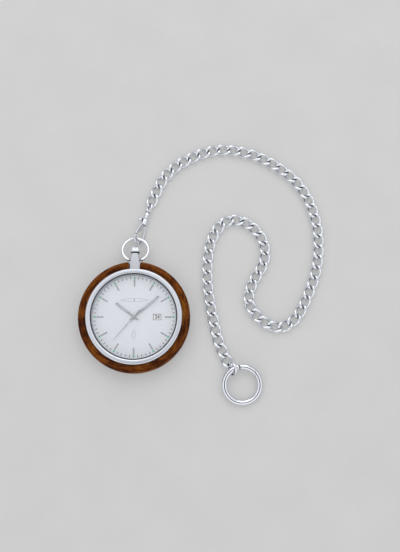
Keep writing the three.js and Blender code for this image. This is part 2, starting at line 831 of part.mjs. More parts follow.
for (let first = 0; first < linkCount; first += linksPerNode) {
  const links = [];
  for (let i = first; i < Math.min(first + linksPerNode, linkCount); i++) {
    links.push(linkGeometry.clone().applyMatrix4(linkPlace(i)));
    if (i > first) {
      const bead = new THREE.OctahedronGeometry(beadRadius);
      links.push(moved(bead, contacts[i].x, contacts[i].y, contacts[i].z));
    }
  }
  const number = String(first / linksPerNode + 1).padStart(2, "0");
  add(part, "links_" + number, join(...links), brightSteel);
}

// ---------------------------------------------------------------- jump ring and end ring

// The jump ring leans against the last link, and its lowest point touches the table.
const chainEnd = contacts[linkCount];
const beforeEnd = contacts[linkCount - 1];
const endTurn = Math.atan2(chainEnd.y - beforeEnd.y, chainEnd.x - beforeEnd.x);
const lean = degrees(jumpLean);
const jumpHeight = jumpRadius * Math.sin(lean) + jumpWire;
const jumpGroup = new THREE.Group();
jumpGroup.position.set(
  chainEnd.x + jumpAhead * Math.cos(endTurn),
  chainEnd.y + jumpAhead * Math.sin(endTurn),
  jumpHeight,
);
jumpGroup.rotation.order = "ZXY";
jumpGroup.rotation.set(lean, 0, endTurn - degrees(jumpTurn));
part.add(jumpGroup);
add(jumpGroup, "connecting_ring", new THREE.TorusGeometry(jumpRadius, jumpWire, 6, 16), brightSteel);

// The end ring's near side lies in the jump ring and its far side on the table.
const bearing = endTurn + degrees(ringTurn);
const ringSlope = Math.asin((jumpHeight + ringRise - ringWire) / (2 * ringRadius));
const ringReach = ringRadius + jumpRadius - jumpWire - ringWire - ringSlack;
const ringGroup = new THREE.Group();
ringGroup.position.set(
  jumpGroup.position.x + ringReach * Math.cos(bearing),
  jumpGroup.position.y + ringReach * Math.sin(bearing),
  ringWire + ringRadius * Math.sin(ringSlope),
);
const slopeAxis = new THREE.Vector3(-Math.sin(bearing), Math.cos(bearing), 0);
ringGroup.quaternion.setFromAxisAngle(slopeAxis, ringSlope);
part.add(ringGroup);

const fullRing = new THREE.TorusGeometry(ringRadius, ringWire, 8, 32);

// A plate that covers a sector of the plane round the centre, tall enough to cut the ring.
function sector(from, to) {
  const reach = 2 * ringRadius;
  return plate([[0, 0], ...arc(0, 0, reach, reach, from, to, 6)], 4 * ringWire, 0);
}

// The side of the nose's slanted cut that faces the ring's middle, moved out by an offset.
function insideNose(offset) {
  const size = 3 * ringRadius;
  const nose = degrees(ringNose);
  return block(-size, size, -offset, size, -2 * ringWire, 2 * ringWire)
    .rotateZ(degrees(noseSlant))
    .translate(ringRadius * Math.cos(nose), ringRadius * Math.sin(nose), 0);
}

const gateSector = solid(sector(ringNose - noseMargin, ringHinge));
const tongueHalf = ringTongue / 2;
const earHalf = ringWire * 0.92;
const hingeX = ringRadius * Math.cos(degrees(ringHinge));
const hingeY = ringRadius * Math.sin(degrees(ringHinge));

// A disc about the gate's hinge.
function atHinge(radius, halfHeight) {
  const sides = radius > ringWire / 2 ? 20 : 12;
  const body = new THREE.CylinderGeometry(radius, radius, 2 * halfHeight, sides);
  return solid(moved(body.rotateX(Math.PI / 2), hingeX, hingeY, 0));
}

function endRing() {
  const opening = gateSector.intersect(solid(insideNose(ringGateGap / 2)));
  return geometryOf(
    solid(fullRing)
      .subtract(opening)
      .add(atHinge(ringWire, earHalf))
      .subtract(atHinge(ringWire + freeGap, tongueHalf + fit))
      .subtract(atHinge(ringPinRadius + fit, 2 * ringWire)),
  );
}

function endRingGate() {
  const arcPiece = solid(fullRing).intersect(gateSector).intersect(solid(insideNose(-ringGateGap / 2)));
  const slab = solid(block(-ringRadius, 2 * ringRadius, 0, 2 * ringRadius, -tongueHalf, tongueHalf));
  return geometryOf(
    arcPiece
      .subtract(atHinge(ringWire + freeGap, 2 * ringWire))
      .add(arcPiece.intersect(slab))
      .add(atHinge(ringWire - freeGap, tongueHalf))
      .subtract(atHinge(ringPinRadius + running, 2 * ringWire)),
  );
}

const ringPin = new THREE.CylinderGeometry(ringPinRadius, ringPinRadius, 2 * earHalf, 12);
add(ringGroup, "end_ring", endRing(), brightSteel);
add(ringGroup, "end_ring_gate", endRingGate(), brightSteel);
add(ringGroup, "end_ring_pin", moved(ringPin.rotateX(Math.PI / 2), hingeX, hingeY, 0), steel);

export default part;
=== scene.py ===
"""Pocket watch with a wooden rim on a steel curb chain, lying on a pale table.

Lengths are written in millimetres and turned into metres as each mesh is made.
"""

import json
import math

import bmesh
import bpy
import numpy as np
from mathutils import Matrix, Vector


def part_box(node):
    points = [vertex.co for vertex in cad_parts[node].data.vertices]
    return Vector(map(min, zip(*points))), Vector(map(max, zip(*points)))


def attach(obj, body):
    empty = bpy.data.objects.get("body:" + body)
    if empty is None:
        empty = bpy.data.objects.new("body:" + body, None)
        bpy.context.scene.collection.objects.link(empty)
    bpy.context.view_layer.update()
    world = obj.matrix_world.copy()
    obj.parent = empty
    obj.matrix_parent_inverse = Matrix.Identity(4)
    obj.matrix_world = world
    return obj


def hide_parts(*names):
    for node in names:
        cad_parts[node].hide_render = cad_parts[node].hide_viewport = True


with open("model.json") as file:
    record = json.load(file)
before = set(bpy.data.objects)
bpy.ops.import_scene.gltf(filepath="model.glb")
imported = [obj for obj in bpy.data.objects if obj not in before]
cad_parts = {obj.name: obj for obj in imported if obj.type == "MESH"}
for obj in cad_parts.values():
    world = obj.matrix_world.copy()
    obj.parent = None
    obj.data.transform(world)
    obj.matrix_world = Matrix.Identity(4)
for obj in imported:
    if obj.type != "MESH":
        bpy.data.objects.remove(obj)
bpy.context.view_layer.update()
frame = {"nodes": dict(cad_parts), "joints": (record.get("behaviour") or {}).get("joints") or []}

MM = 0.001
TURN = 2 * math.pi
UP = Vector((0, 0, 1))

# ---- places, from the frame

joints = {joint["name"]: joint for joint in frame["joints"]}


def joint_point(name):
    """A joint's place, in millimetres."""
    return Vector(joints[name]["pos_m"]) / MM


def joint_axis(name):
    return Vector(joints[name]["axis"]).normalized()


def low(node):
    """A node's lowest corner, in millimetres."""
    return Vector(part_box(node)[0]) / MM


def high(node):
    return Vector(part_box(node)[1]) / MM


def frame_of(origin, y_axis, z_axis):
    """The matrix of a local frame, in millimetres."""
    z = z_axis.normalized()
    y = (y_axis - z * y_axis.dot(z)).normalized()
    x = y.cross(z)
    matrix = Matrix((x, y, z)).transposed().to_4x4()
    matrix.translation = origin
    return matrix


def linked(name, data):
    """A new object in the scene."""
    new_object = bpy.data.objects.new(name, data)
    bpy.context.scene.collection.objects.link(new_object)
    return new_object


# ---- camera

VIEW_CENTRE = Vector((29.4, 19.7, 0))
VIEW_DISTANCE = 400
VIEW_TILT = math.radians(10.3)
LENS, SENSOR = 57.1, 36


def make_camera():
    data = bpy.data.cameras.new("camera")
    data.lens = LENS
    data.sensor_width = SENSOR
    camera = linked("camera", data)
    back = Vector((0, -math.sin(VIEW_TILT), math.cos(VIEW_TILT)))
    camera.location = (VIEW_CENTRE + back * VIEW_DISTANCE) * MM
    camera.rotation_euler = (VIEW_TILT, 0, 0)
    bpy.context.scene.camera = camera


make_camera()

# ---- meshes

MERGE_DISTANCE = 1e-7  # metres
BEVEL_ANGLE = 35
NEARLY_A_TURN = TURN - 1e-6
LONGEST_CUT = 0.45  # share of an edge that rounding its corner may take
CASE_SEGMENTS, DISC_SEGMENTS = 240, 200


def mesh_object(name, vertices, faces, material, body, slot, place=None, sharp=None):
    """A mesh piece on a CAD body. Vertices are in millimetres, in the frame given by place."""
    mesh = bpy.data.meshes.new(name)
    matrix = place or Matrix.Identity(4)
    mesh.from_pydata([(matrix @ Vector(v)) * MM for v in vertices], [], faces)
    cleanup = bmesh.new()
    cleanup.from_mesh(mesh)
    bmesh.ops.remove_doubles(cleanup, verts=cleanup.verts, dist=MERGE_DISTANCE)
    bmesh.ops.recalc_face_normals(cleanup, faces=cleanup.faces)
    cleanup.to_mesh(mesh)
    cleanup.free()
    piece = linked(name, mesh)
    mesh.materials.append(material)
    mesh.shade_smooth()
    if sharp:
        mesh.set_sharp_from_angle(angle=math.radians(sharp))
    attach(piece, body)
    return piece


def bevelled(piece, width, segments):
    """Rounds a piece's sharp edges."""
    bevel = piece.modifiers.new("edges", "BEVEL")
    bevel.width = width * MM
    bevel.segments = segments
    bevel.limit_method = "ANGLE"
    bevel.angle_limit = math.radians(BEVEL_ANGLE)
    bevel.harden_normals = True


def apply_modifiers(piece):
    """Makes a piece's modifiers part of its mesh."""
    bpy.context.view_layer.update()
    shown = piece.evaluated_get(bpy.context.evaluated_depsgraph_get())
    mesh = bpy.data.meshes.new_from_object(shown)
    piece.modifiers.clear()
    piece.data = mesh


def cut_with(piece, tool, operation="DIFFERENCE"):
    """Cuts a piece with a tool, or adds the tool to it, and removes the tool."""
    change = piece.modifiers.new("cut", "BOOLEAN")
    change.operation = operation
    change.solver = "EXACT"
    change.object = tool
    apply_modifiers(piece)
    bpy.data.objects.remove(tool)


def grid_faces(rows, columns, close_rows):
    """Quads of a grid of vertices numbered row by row, with each row a closed loop."""
    faces = []
    for i in range(rows if close_rows else rows - 1):
        a, b = i * columns, (i + 1) % rows * columns
        for j in range(columns):
            k = (j + 1) % columns
            faces.append((a + j, a + k, b + k, b + j))
    return faces


def turned(profile, segments, start=0.0, end=TURN, wave=None):
    """Vertices and faces of a closed profile of (radius, height) turned about Z.

    wave(angle, index) scales a point's radius, for fluting.
    """
    whole = end - start > NEARLY_A_TURN
    rows = segments if whole else segments + 1
    vertices = []
    for i in range(rows):
        angle = start + (end - start) * i / segments
        for index, (radius, height) in enumerate(profile):
            r = radius * (wave(angle, index) if wave else 1)
            vertices.append((r * math.cos(angle), r * math.sin(angle), height))
    faces = grid_faces(rows, len(profile), close_rows=whole)
    if not whole:
        count = len(profile)
        faces.append(tuple(range(count)))
        faces.append(tuple(reversed(range((rows - 1) * count, rows * count))))
    return vertices, faces


def arc_points(cx, cy, radius, start, end, steps):
    """Points of an arc, angles in degrees."""
    points = []
    for i in range(steps + 1):
        angle = math.radians(start + (end - start) * i / steps)
        points.append((cx + radius * math.cos(angle), cy + radius * math.sin(angle)))
    return points


def rounded_profile(points, radius, steps):
    """A closed profile with each corner rounded by up to radius."""
    rounded = []
    count = len(points)
    for i in range(count):
        before, here, after = (Vector(points[(i + k) % count]) for k in (-1, 0, 1))
        back, ahead = before - here, after - here
        cut = min(radius, back.length * LONGEST_CUT, ahead.length * LONGEST_CUT)
        a, b = here + back.normalized() * cut, here + ahead.normalized() * cut
        for k in range(steps + 1):
            t = k / steps
            rounded.append(tuple(a * (1 - t) ** 2 + here * (2 * t * (1 - t)) + b * t * t))
    return rounded


def tube(points, radius, sides, closed=False, flat=1.0, up=None):
    """A round bar along points. flat scales its height along up; open ends are closed flat."""
    path = [Vector(p) for p in points]
    count = len(path)
    vertices = []
    side_axis = None
    for i, point in enumerate(path):
        ahead = path[(i + 1) % count] if closed or i < count - 1 else point
        behind = path[i - 1] if closed or i > 0 else point
        tangent = (ahead - behind).normalized()
        if up is not None:
            side_axis = tangent.cross(up).normalized()
        elif side_axis is None:
            side_axis = tangent.orthogonal().normalized()
        else:
            side_axis = (side_axis - tangent * side_axis.dot(tangent)).normalized()
        top_axis = side_axis.cross(tangent)
        for k in range(sides):
            angle = TURN * k / sides
            offset = side_axis * math.cos(angle) + top_axis * (math.sin(angle) * flat)
            vertices.append(point + offset * radius)
    faces = grid_faces(count, sides, close_rows=closed)
    if not closed:
        faces.append(tuple(reversed(range(sides))))
        faces.append(tuple(range((count - 1) * sides, count * sides)))
    return vertices, faces


def plate(outline, bottom, top):
    """An outline drawn up from bottom to top."""
    count = len(outline)
    vertices = [(x, y, bottom) for x, y in outline] + [(x, y, top) for x, y in outline]
    faces = [tuple(reversed(range(count))), tuple(range(count, 2 * count))]
    faces += [(i, (i + 1) % count, count + (i + 1) % count, count + i) for i in range(count)]
    return vertices, faces


def box(x0, x1, y0, y1, z0, z1):
    return plate([(x0, y0), (x1, y0), (x1, y1), (x0, y1)], z0, z1)


def joined(*parts):
    """Several (vertices, faces) as one."""
    vertices, faces = [], []
    for part_vertices, part_faces in parts:
        first = len(vertices)
        vertices += list(part_vertices)
        faces += [tuple(first + i for i in face) for face in part_faces]
    return vertices, faces


def placed(part, matrix):
    vertices, faces = part
    return [matrix @ Vector(v) for v in vertices], faces


def about_z(degrees_clockwise):
    return Matrix.Rotation(-math.radians(degrees_clockwise), 4, "Z")


Y_AXIS = Matrix.Rotation(-math.pi / 2, 4, "X")  # turns a piece about Z into one about Y

# ---- materials

NOISE_LOW, NOISE_HIGH = 0.3, 0.7  # most of a noise's values lie between these
CREVICE_REACH = 0.9


class Nodes:
    """A material's node tree, with short ways to add and link nodes."""

    def __init__(self, name):
        self.material = bpy.data.materials.new(name)
        self.material.use_nodes = True
        self.tree = self.material.node_tree
        self.shader = self.tree.nodes["Principled BSDF"]

    def add(self, kind, **values):
        node = self.tree.nodes.new(kind)
        for name, value in values.items():
            setattr(node, name, value)
        return node

    def link(self, output, target):
        self.tree.links.new(output, target)

    def set(self, name, value):
        self.shader.inputs[name].default_value = value

    def place(self, scale=(1, 1, 1)):
        """Object coordinates in metres, scaled."""
        coordinates = self.add("ShaderNodeTexCoord")
        mapping = self.add("ShaderNodeMapping")
        mapping.inputs["Scale"].default_value = scale
        self.link(coordinates.outputs["Object"], mapping.inputs["Vector"])
        return mapping.outputs["Vector"]

    def polar(self, radial, round_it, vertical):
        """Coordinates (radius, angle, height) about Z, each scaled."""
        parts = self.add("ShaderNodeSeparateXYZ")
        self.link(self.add("ShaderNodeTexCoord").outputs["Object"], parts.inputs[0])
        x, y, z = parts.outputs
        squares = self.math("ADD", self.math("MULTIPLY", x, x), self.math("MULTIPLY", y, y))
        radius = self.math("SQRT", squares)
        angle = self.math("ARCTAN2", y, x)
        scaled = self.add("ShaderNodeCombineXYZ")
        self.link(self.math("MULTIPLY", radius, radial), scaled.inputs[0])
        self.link(self.math("MULTIPLY", angle, round_it), scaled.inputs[1])
        self.link(self.math("MULTIPLY", z, vertical), scaled.inputs[2])
        return scaled.outputs[0]

    def math(self, operation, *values, clamp=False):
        node = self.add("ShaderNodeMath", operation=operation, use_clamp=clamp)
        for socket, value in zip(node.inputs, values):
            if isinstance(value, (int, float)):
                socket.default_value = value
            else:
                self.link(value, socket)
        return node.outputs[0]

    def noise(self, vector, scale, detail=4.0, roughness=0.55, distortion=0.0):
        node = self.add("ShaderNodeTexNoise")
        self.link(vector, node.inputs["Vector"])
        node.inputs["Scale"].default_value = scale
        node.inputs["Detail"].default_value = detail
        node.inputs["Roughness"].default_value = roughness
        node.inputs["Distortion"].default_value = distortion
        return node.outputs["Fac"]

    def ramp(self, value, *stops):
        """Colours by value, each stop (position, colour)."""
        node = self.add("ShaderNodeValToRGB")
        elements = node.color_ramp.elements
        while len(elements) < len(stops):
            elements.new(0.5)
        for element, (position, colour) in zip(elements, stops):
            element.position = position
            element.color = (*colour, 1)
        self.link(value, node.inputs["Fac"])
        return node.outputs["Color"]

    def range(self, value, from_low, from_high, to_low, to_high):
        node = self.add("ShaderNodeMapRange")
        self.link(value, node.inputs["Value"])
        for name, number in (
            ("From Min", from_low),
            ("From Max", from_high),
            ("To Min", to_low),
            ("To Max", to_high),
        ):
            node.inputs[name].default_value = number
        return node.outputs["Result"]

    def bump(self, height, strength, distance):
        node = self.add("ShaderNodeBump")
        node.inputs["Strength"].default_value = strength
        node.inputs["Distance"].default_value = distance * MM
        self.link(height, node.inputs["Height"])
        self.link(node.outputs["Normal"], self.shader.inputs["Normal"])

    def colour(self, socket):
        self.link(socket, self.shader.inputs["Base Color"])

    def roughness(self, socket):
        self.link(socket, self.shader.inputs["Roughness"])

    def tone(self, noise, dark, light):
        """The base colour goes from dark to light with a noise."""
        self.colour(self.ramp(noise, (NOISE_LOW, dark), (NOISE_HIGH, light)))

    def gloss(self, noise, low_end, high_end):
        """The roughness goes between two values with a noise."""
        self.roughness(self.range(noise, NOISE_LOW, NOISE_HIGH, low_end, high_end))


def polished_steel(name="polished_steel", tint=(0.84, 0.87, 0.91), rough=0.07):
    """Bright rolled and tumbled steel, with faint clouding, handling marks and painted shade that
    turns its crevices near black.
    """
    n = Nodes(name)
    n.set("Metallic", 1.0)
    where = n.place()
    cloud = n.noise(where, 900, detail=3)
    marks = n.noise(n.place((1, 6, 1)), 2600, detail=2)
    dark = tuple(c * 0.9 for c in tint)
    unshaded_tint = n.ramp(cloud, (NOISE_LOW, dark), (NOISE_HIGH, tint))
    # Painted shade: an ambient occlusion mask darkens the colour to near black in crevices and where
    # links cross, standing in for shade.
    nearby = n.add("ShaderNodeAmbientOcclusion")
    nearby.inputs["Distance"].default_value = CREVICE_REACH * MM
    painted_crevice_shade = n.add("ShaderNodeMix", data_type="RGBA", blend_type="MIX")
    n.link(n.range(nearby.outputs["AO"], 0.35, 0.8, 0.0, 1.0), painted_crevice_shade.inputs[0])
    painted_crevice_shade.inputs["A"].default_value = (0.03, 0.032, 0.036, 1)
    n.link(unshaded_tint, painted_crevice_shade.inputs["B"])
    n.colour(painted_crevice_shade.outputs["Result"])
    n.gloss(marks, rough, rough + 0.06)
    n.bump(marks, 0.12, 0.01)
    return n.material


def satin_steel():
    """Bead-blasted steel of the neck, with a fine sparkling grain."""
    n = Nodes("satin_steel")
    n.set("Metallic", 0.9)
    grain = n.noise(n.place(), 5200, detail=2, roughness=0.7)
    n.tone(grain, (0.42, 0.44, 0.47), (0.68, 0.70, 0.735))
    n.gloss(grain, 0.28, 0.5)
    n.bump(grain, 0.4, 0.03)
    return n.material


def turned_steel(name, tint, rough=0.26, lines=9000, depth=0.25):
    """Steel with the fine rings that a lathe leaves about the watch's axis."""
    n = Nodes(name)
    n.set("Metallic", 1.0)
    where = n.polar(lines, 1.5, lines)
    rings = n.noise(where, 1.0, detail=2)
    dark = tuple(c * (1 - depth / 2) for c in tint)
    n.tone(rings, dark, tint)
    n.gloss(rings, rough, rough + 0.14)
    n.bump(rings, depth, 0.01)
    return n.material


def walnut():
    """Oiled walnut: long streaks round the rim, fine dark pores and broad darker zones."""
    n = Nodes("walnut")
    where = n.polar(1000, 22, 600)
    warp = n.noise(n.place(), 160, detail=3)
    streak = n.add("ShaderNodeMapping")
    streak.inputs["Scale"].default_value = (1.6, 0.14, 0.9)
    n.link(where, streak.inputs["Vector"])
    grain = n.noise(streak.outputs["Vector"], 1.1, detail=7, roughness=0.62, distortion=0.5)
    fine = n.add("ShaderNodeMapping")
    fine.inputs["Scale"].default_value = (7, 0.5, 5)
    n.link(where, fine.inputs["Vector"])
    pores = n.noise(fine.outputs["Vector"], 1.6, detail=3, roughness=0.5)
    blend = n.math("ADD", n.math("MULTIPLY", grain, 0.62), n.math("MULTIPLY", warp, 0.38))
    colour = n.ramp(
        blend,
        (0.38, (0.022, 0.0045, 0.0008)),
        (0.46, (0.088, 0.020, 0.002)),
        (0.54, (0.190, 0.055, 0.005)),
        (0.66, (0.310, 0.118, 0.014)),
    )
    darken = n.add("ShaderNodeMix", data_type="RGBA", blend_type="MULTIPLY")
    n.link(n.range(pores, 0.3, 0.55, 0.95, 0.0), darken.inputs[0])
    n.link(colour, darken.inputs["A"])
    darken.inputs["B"].default_value = (0.25, 0.16, 0.1, 1)
    n.colour(darken.outputs["Result"])
    n.roughness(n.range(pores, 0.3, 0.6, 0.6, 0.36))
    n.set("Specular IOR Level", 0.06)
    n.bump(pores, 0.35, 0.05)
    return n.material


def silver_dial():
    """Silvered dial with a sunray brushing."""
    n = Nodes("silver_dial")
    n.set("Metallic", 0.2)
    where = n.polar(60, 130, 1)
    rays = n.noise(where, 1.0, detail=3)
    n.tone(rays, (0.66, 0.685, 0.735), (0.73, 0.755, 0.80))
    n.gloss(rays, 0.34, 0.5)
    n.bump(rays, 0.08, 0.01)
    return n.material


def enamel(name, light, dark, rough=0.45, scale=3000):
    """Printed ink or paint, slightly uneven."""
    n = Nodes(name)
    cloud = n.noise(n.place(), scale, detail=3)
    n.tone(cloud, dark, light)
    n.gloss(cloud, rough, rough + 0.15)
    n.bump(cloud, 0.1, 0.01)
    return n.material


def facet_steel():
    """Steel of the hands and hour markers, with a fine even grain."""
    n = Nodes("facet_steel")
    n.set("Metallic", 1.0)
    grain = n.noise(n.place(), 4200, detail=3)
    n.tone(grain, (0.22, 0.23, 0.26), (0.36, 0.375, 0.41))
    n.gloss(grain, 0.32, 0.46)
    n.bump(grain, 0.1, 0.01)
    return n.material


def clear_crystal():
    """Clear crystal with faint smears, almost all of which is seen through."""
    n = Nodes("crystal")
    n.set("IOR", 1.5)
    smear = n.noise(n.place(), 120, detail=3)
    n.tone(smear, (0.95, 0.97, 1.0), (1.0, 1.0, 1.0))
    n.roughness(n.range(smear, 0.35, 0.7, 0.02, 0.07))
    n.set("Alpha", 0.1)
    return n.material


def rubber():
    """Black rubber of the seals."""
    n = Nodes("rubber")
    grain = n.noise(n.place(), 4000, detail=3)
    n.tone(grain, (0.012, 0.012, 0.013), (0.035, 0.035, 0.037))
    n.gloss(grain, 0.6, 0.85)
    n.bump(grain, 0.3, 0.02)
    return n.material


def brass():
    """Turned brass of the movement."""
    n = Nodes("brass")
    n.set("Metallic", 1.0)
    where = n.polar(3000, 3, 3000)
    stripes = n.noise(where, 1.0, detail=3)
    n.tone(stripes, (0.55, 0.40, 0.18), (0.75, 0.58, 0.30))
    n.gloss(stripes, 0.25, 0.45)
    n.bump(stripes, 0.2, 0.01)
    return n.material


def table_top():
    """Pale matt paper with a faint fibre. A little light of its own keeps the shadows faint."""
    n = Nodes("table_top")
    cloud = n.noise(n.place(), 40, detail=5)
    n.tone(cloud, (0.33, 0.33, 0.328), (0.36, 0.36, 0.357))
    n.set("Emission Color", (0.94, 0.94, 0.935, 1))
    n.set("Emission Strength", 0.27)
    n.gloss(cloud, 0.75, 0.85)
    n.bump(n.noise(n.place(), 1500, detail=3), 0.06, 0.05)
    return n.material


POLISHED = polished_steel()
MIRROR = polished_steel("mirror_steel", (0.80, 0.825, 0.87), 0.03)
SATIN = satin_steel()
TURNED = turned_steel("turned_steel", (0.58, 0.60, 0.64))
BEZEL = turned_steel("bezel_steel", (0.68, 0.71, 0.76), lines=6000, depth=0.08)
REHAUT = turned_steel("rehaut_steel", (0.42, 0.45, 0.50), rough=0.35)
WALNUT = walnut()
DIAL = silver_dial()
FACETS = facet_steel()
CRYSTAL = clear_crystal()
RUBBER = rubber()
BRASS = brass()
LUME = enamel("lume_green", (0.012, 0.60, 0.27), (0.008, 0.45, 0.20), 0.5)
PALE_LUME = enamel("lume_pale", (0.60, 0.63, 0.66), (0.50, 0.53, 0.56), 0.5)
GREY_INK = enamel("grey_ink", (0.045, 0.05, 0.06), (0.03, 0.034, 0.04))
DARK_EDGE = enamel("dark_edge", (0.10, 0.105, 0.12), (0.07, 0.074, 0.085), 0.3)
PALE_INK = enamel("pale_ink", (0.30, 0.315, 0.35), (0.24, 0.25, 0.28))
WHITE_PRINT = enamel("white_print", (0.90, 0.90, 0.89), (0.84, 0.84, 0.83))
GREY_PLASTIC = enamel("grey_plastic", (0.20, 0.20, 0.21), (0.16, 0.16, 0.17), 0.5, 1800)

# Nodes that show their CAD bodies, with the material of each.
CARRIED = {
    "movement": BRASS,
    "movement_holder": GREY_PLASTIC,
    "battery": TURNED,
    "winding_stem": TURNED,
    "clasp_gate_pin": SATIN,
    "swivel_rivet": SATIN,
    "end_ring_pin": SATIN,
    "date_disc": WHITE_PRINT,
}
for node, material in CARRIED.items():
    frame["nodes"][node].data.materials.clear()
    frame["nodes"][node].data.materials.append(material)

# ---- watch case

CASE_RADIUS = high("bezel_ring").x
RIM_RADIUS = high("wood_rim").x
RIM_GAP = 0.12
RIM_CORNER = 1.5
BEZEL_WIDTH = 2.2
CASE_WALL = 1.3
BACK_SEAT = 1.3
NECK_ROOT_HALF, NECK_HALF, NECK_TOP_HALF = 2.5, 2.0, 1.35
NECK_HALF_THICKNESS = 1.9
STEM_Z = joint_point("crown_turn").z
PIVOT = joint_point("bow_swing")


def make_wood_rim():
    """The wooden rim, open at the top for the neck."""
    inner = CASE_RADIUS + 0.1
    bottom, top = low("wood_rim").z, high("wood_rim").z
    profile = [(inner, bottom + 0.15), (inner + 0.15, bottom)]
    profile += arc_points(RIM_RADIUS - RIM_CORNER, bottom + RIM_CORNER, RIM_CORNER, -90, 0, 8)
    profile += arc_points(RIM_RADIUS - RIM_CORNER, top - RIM_CORNER, RIM_CORNER, 0, 90, 8)
    profile += [(inner + 0.25, top), (inner, top - 0.2)]
    half = math.asin((NECK_ROOT_HALF + RIM_GAP) / (CASE_RADIUS + 1.8))
    start = math.pi / 2 + half
    part = turned(profile, CASE_SEGMENTS, start, start + TURN - 2 * half)
    rim = mesh_object("wood_rim_body", *part, WALNUT, "watch", "walnut", sharp=40)
    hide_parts("wood_rim")


def make_bezel():
    """The bezel ring and the dark seal round the crystal."""
    outer, inner = CASE_RADIUS, CASE_RADIUS - BEZEL_WIDTH
    bottom, top = low("bezel_ring").z, high("bezel_ring").z
    profile = [
        (inner, bottom),
        (outer, bottom),
        (outer, top - 0.55),
        (outer - 0.18, top - 0.2),
        (outer - 0.55, top),
        (inner + 0.5, top),
        (inner + 0.12, top - 0.14),
        (inner, top - 0.45),
    ]
    part = turned(rounded_profile(profile, 0.12, 3), CASE_SEGMENTS)
    ring = mesh_object("bezel", *part, BEZEL, "watch", "polished_steel", sharp=50)
    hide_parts("bezel_ring")
    seal_inner, seal_outer = inner - 0.42, inner - 0.02
    seal_bottom, seal_top = high("crystal").z - 0.1, high("crystal").z + 0.1
    corners = [(seal_inner, seal_bottom), (seal_outer, seal_bottom)]
    corners += [(seal_outer, seal_top), (seal_inner, seal_top)]
    seal = turned(rounded_profile(corners, 0.06, 2), DISC_SEGMENTS)
    mesh_object("crystal_seal", *seal, RUBBER, "watch", "rubber", sharp=50)


def make_case():
    """The wall, with the neck that carries the stem and the bow."""
    inner, outer = CASE_RADIUS - CASE_WALL, CASE_RADIUS
    bottom, top = 0.3, low("bezel_ring").z - 0.1
    ledge_inner, ledge_top = inner - 0.8, BACK_SEAT + 0.5
    profile = [
        (inner, bottom),
        (outer, bottom),
        (outer, top),
        (inner, top),
        (inner, ledge_top),
        (ledge_inner, ledge_top),
        (ledge_inner, BACK_SEAT),
        (inner, BACK_SEAT),
    ]
    wall = turned(rounded_profile(profile, 0.08, 2), CASE_SEGMENTS)
    body = mesh_object("case_wall", *wall, TURNED, "watch", "steel", sharp=40)
    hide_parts("case_body")
    neck_top = high("case_body").y
    outline = [(NECK_ROOT_HALF, CASE_RADIUS - 0.6), (NECK_ROOT_HALF, RIM_RADIUS - 0.9)]
    outline += [(NECK_ROOT_HALF - 0.08, RIM_RADIUS - 0.45), (NECK_HALF + 0.12, RIM_RADIUS - 0.08)]
    outline += [(NECK_HALF, RIM_RADIUS + 0.3), (NECK_HALF - 0.06, PIVOT.y)]
    outline += [(NECK_TOP_HALF + 0.1, neck_top - 0.8), (NECK_TOP_HALF, neck_top)]
    outline += [(-x, y) for x, y in reversed(outline)]
    block = plate(outline, STEM_Z - NECK_HALF_THICKNESS, STEM_Z + NECK_HALF_THICKNESS)
    neck = mesh_object("neck", *block, SATIN, "watch", "steel", sharp=30)
    bevelled(neck, 0.34, 4)
    boss = turned([(0, -0.06), (0.95, -0.06), (0.95, 0.02), (0.8, 0.1), (0, 0.1)], 40)
    for name, side in (("pivot_boss_left", -1), ("pivot_boss_right", 1)):
        turn = Matrix.Rotation(side * math.pi / 2, 4, "Y")
        spot = Matrix.Translation((side * (NECK_HALF - 0.02), PIVOT.y, STEM_Z)) @ turn
        mesh_object(name, *boss, MIRROR, "watch", "steel", spot)


def make_case_back():
    """A flat back with one shallow groove near its edge."""
    radius, top = high("case_back").x, high("case_back").z
    profile = [
        (0, 0.0),
        (radius * 0.80, 0.0),
        (radius * 0.805, 0.1),
        (radius * 0.83, 0.1),
        (radius * 0.835, 0.0),
        (radius - 0.5, 0.0),
        (radius, 0.35),
        (radius, top),
        (0, top),
    ]
    part = turned(profile, DISC_SEGMENTS)
    back = mesh_object("case_back_plate", *part, TURNED, "watch", "brushed_steel", sharp=30)
    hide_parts("case_back")


def make_crystal():
    """A flat crystal with a chamfered edge."""
    radius = high("crystal").x
    bottom, top = low("crystal").z, high("crystal").z
    chamfer = 0.25
    profile = [(0, bottom), (radius, bottom), (radius, top - chamfer)]
    profile += [(radius - chamfer, top), (0, top)]
    part = turned(profile, DISC_SEGMENTS)
    glass = mesh_object("crystal_glass", *part, CRYSTAL, "watch", "crystal", sharp=30)
    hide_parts("crystal")


make_wood_rim()
make_bezel()
make_case()
make_case_back()
make_crystal()

# ---- dial

DIAL_RADIUS = high("dial").x
DIAL_VISIBLE = DIAL_RADIUS - 1.5
DIAL_BOTTOM = low("dial").z
DIAL_TOP = DIAL_BOTTOM + 0.4
MARKER_TOP = high("dial").z
TRACK_OUTER = DIAL_VISIBLE - 0.45
TRACK_INNER = TRACK_OUTER - 1.15
DOT_AT = TRACK_INNER + 0.55
MARKER_OUTER = DIAL_VISIBLE - 1.7
MARKER_INNER = MARKER_OUTER - 3.2
MARKER_HALF_WIDTH = 0.36
MARKER_INSET = 0.25  # how far the ridge stops short of each end
DATE_AT = high("date_disc").x - 2.3
DATE_SHOWN, DAYS = 24, 31
DATE_SIZE, DATE_WEIGHT, DATE_THICKNESS = 2.1, 0.09, 0.01
WINDOW_HALF = (1.6, 1.15)
DATE_FRAME_WIDTH, DATE_FRAME_BEVEL, DATE_FRAME_HEIGHT = 0.24, 0.06, 0.13
MINUTE_STEP, HOUR_STEP = 6, 30  # degrees
LENS_Y, LENS_HALF_WIDTH, LENS_HALF_HEIGHT = 7.6, 6.2, 0.75
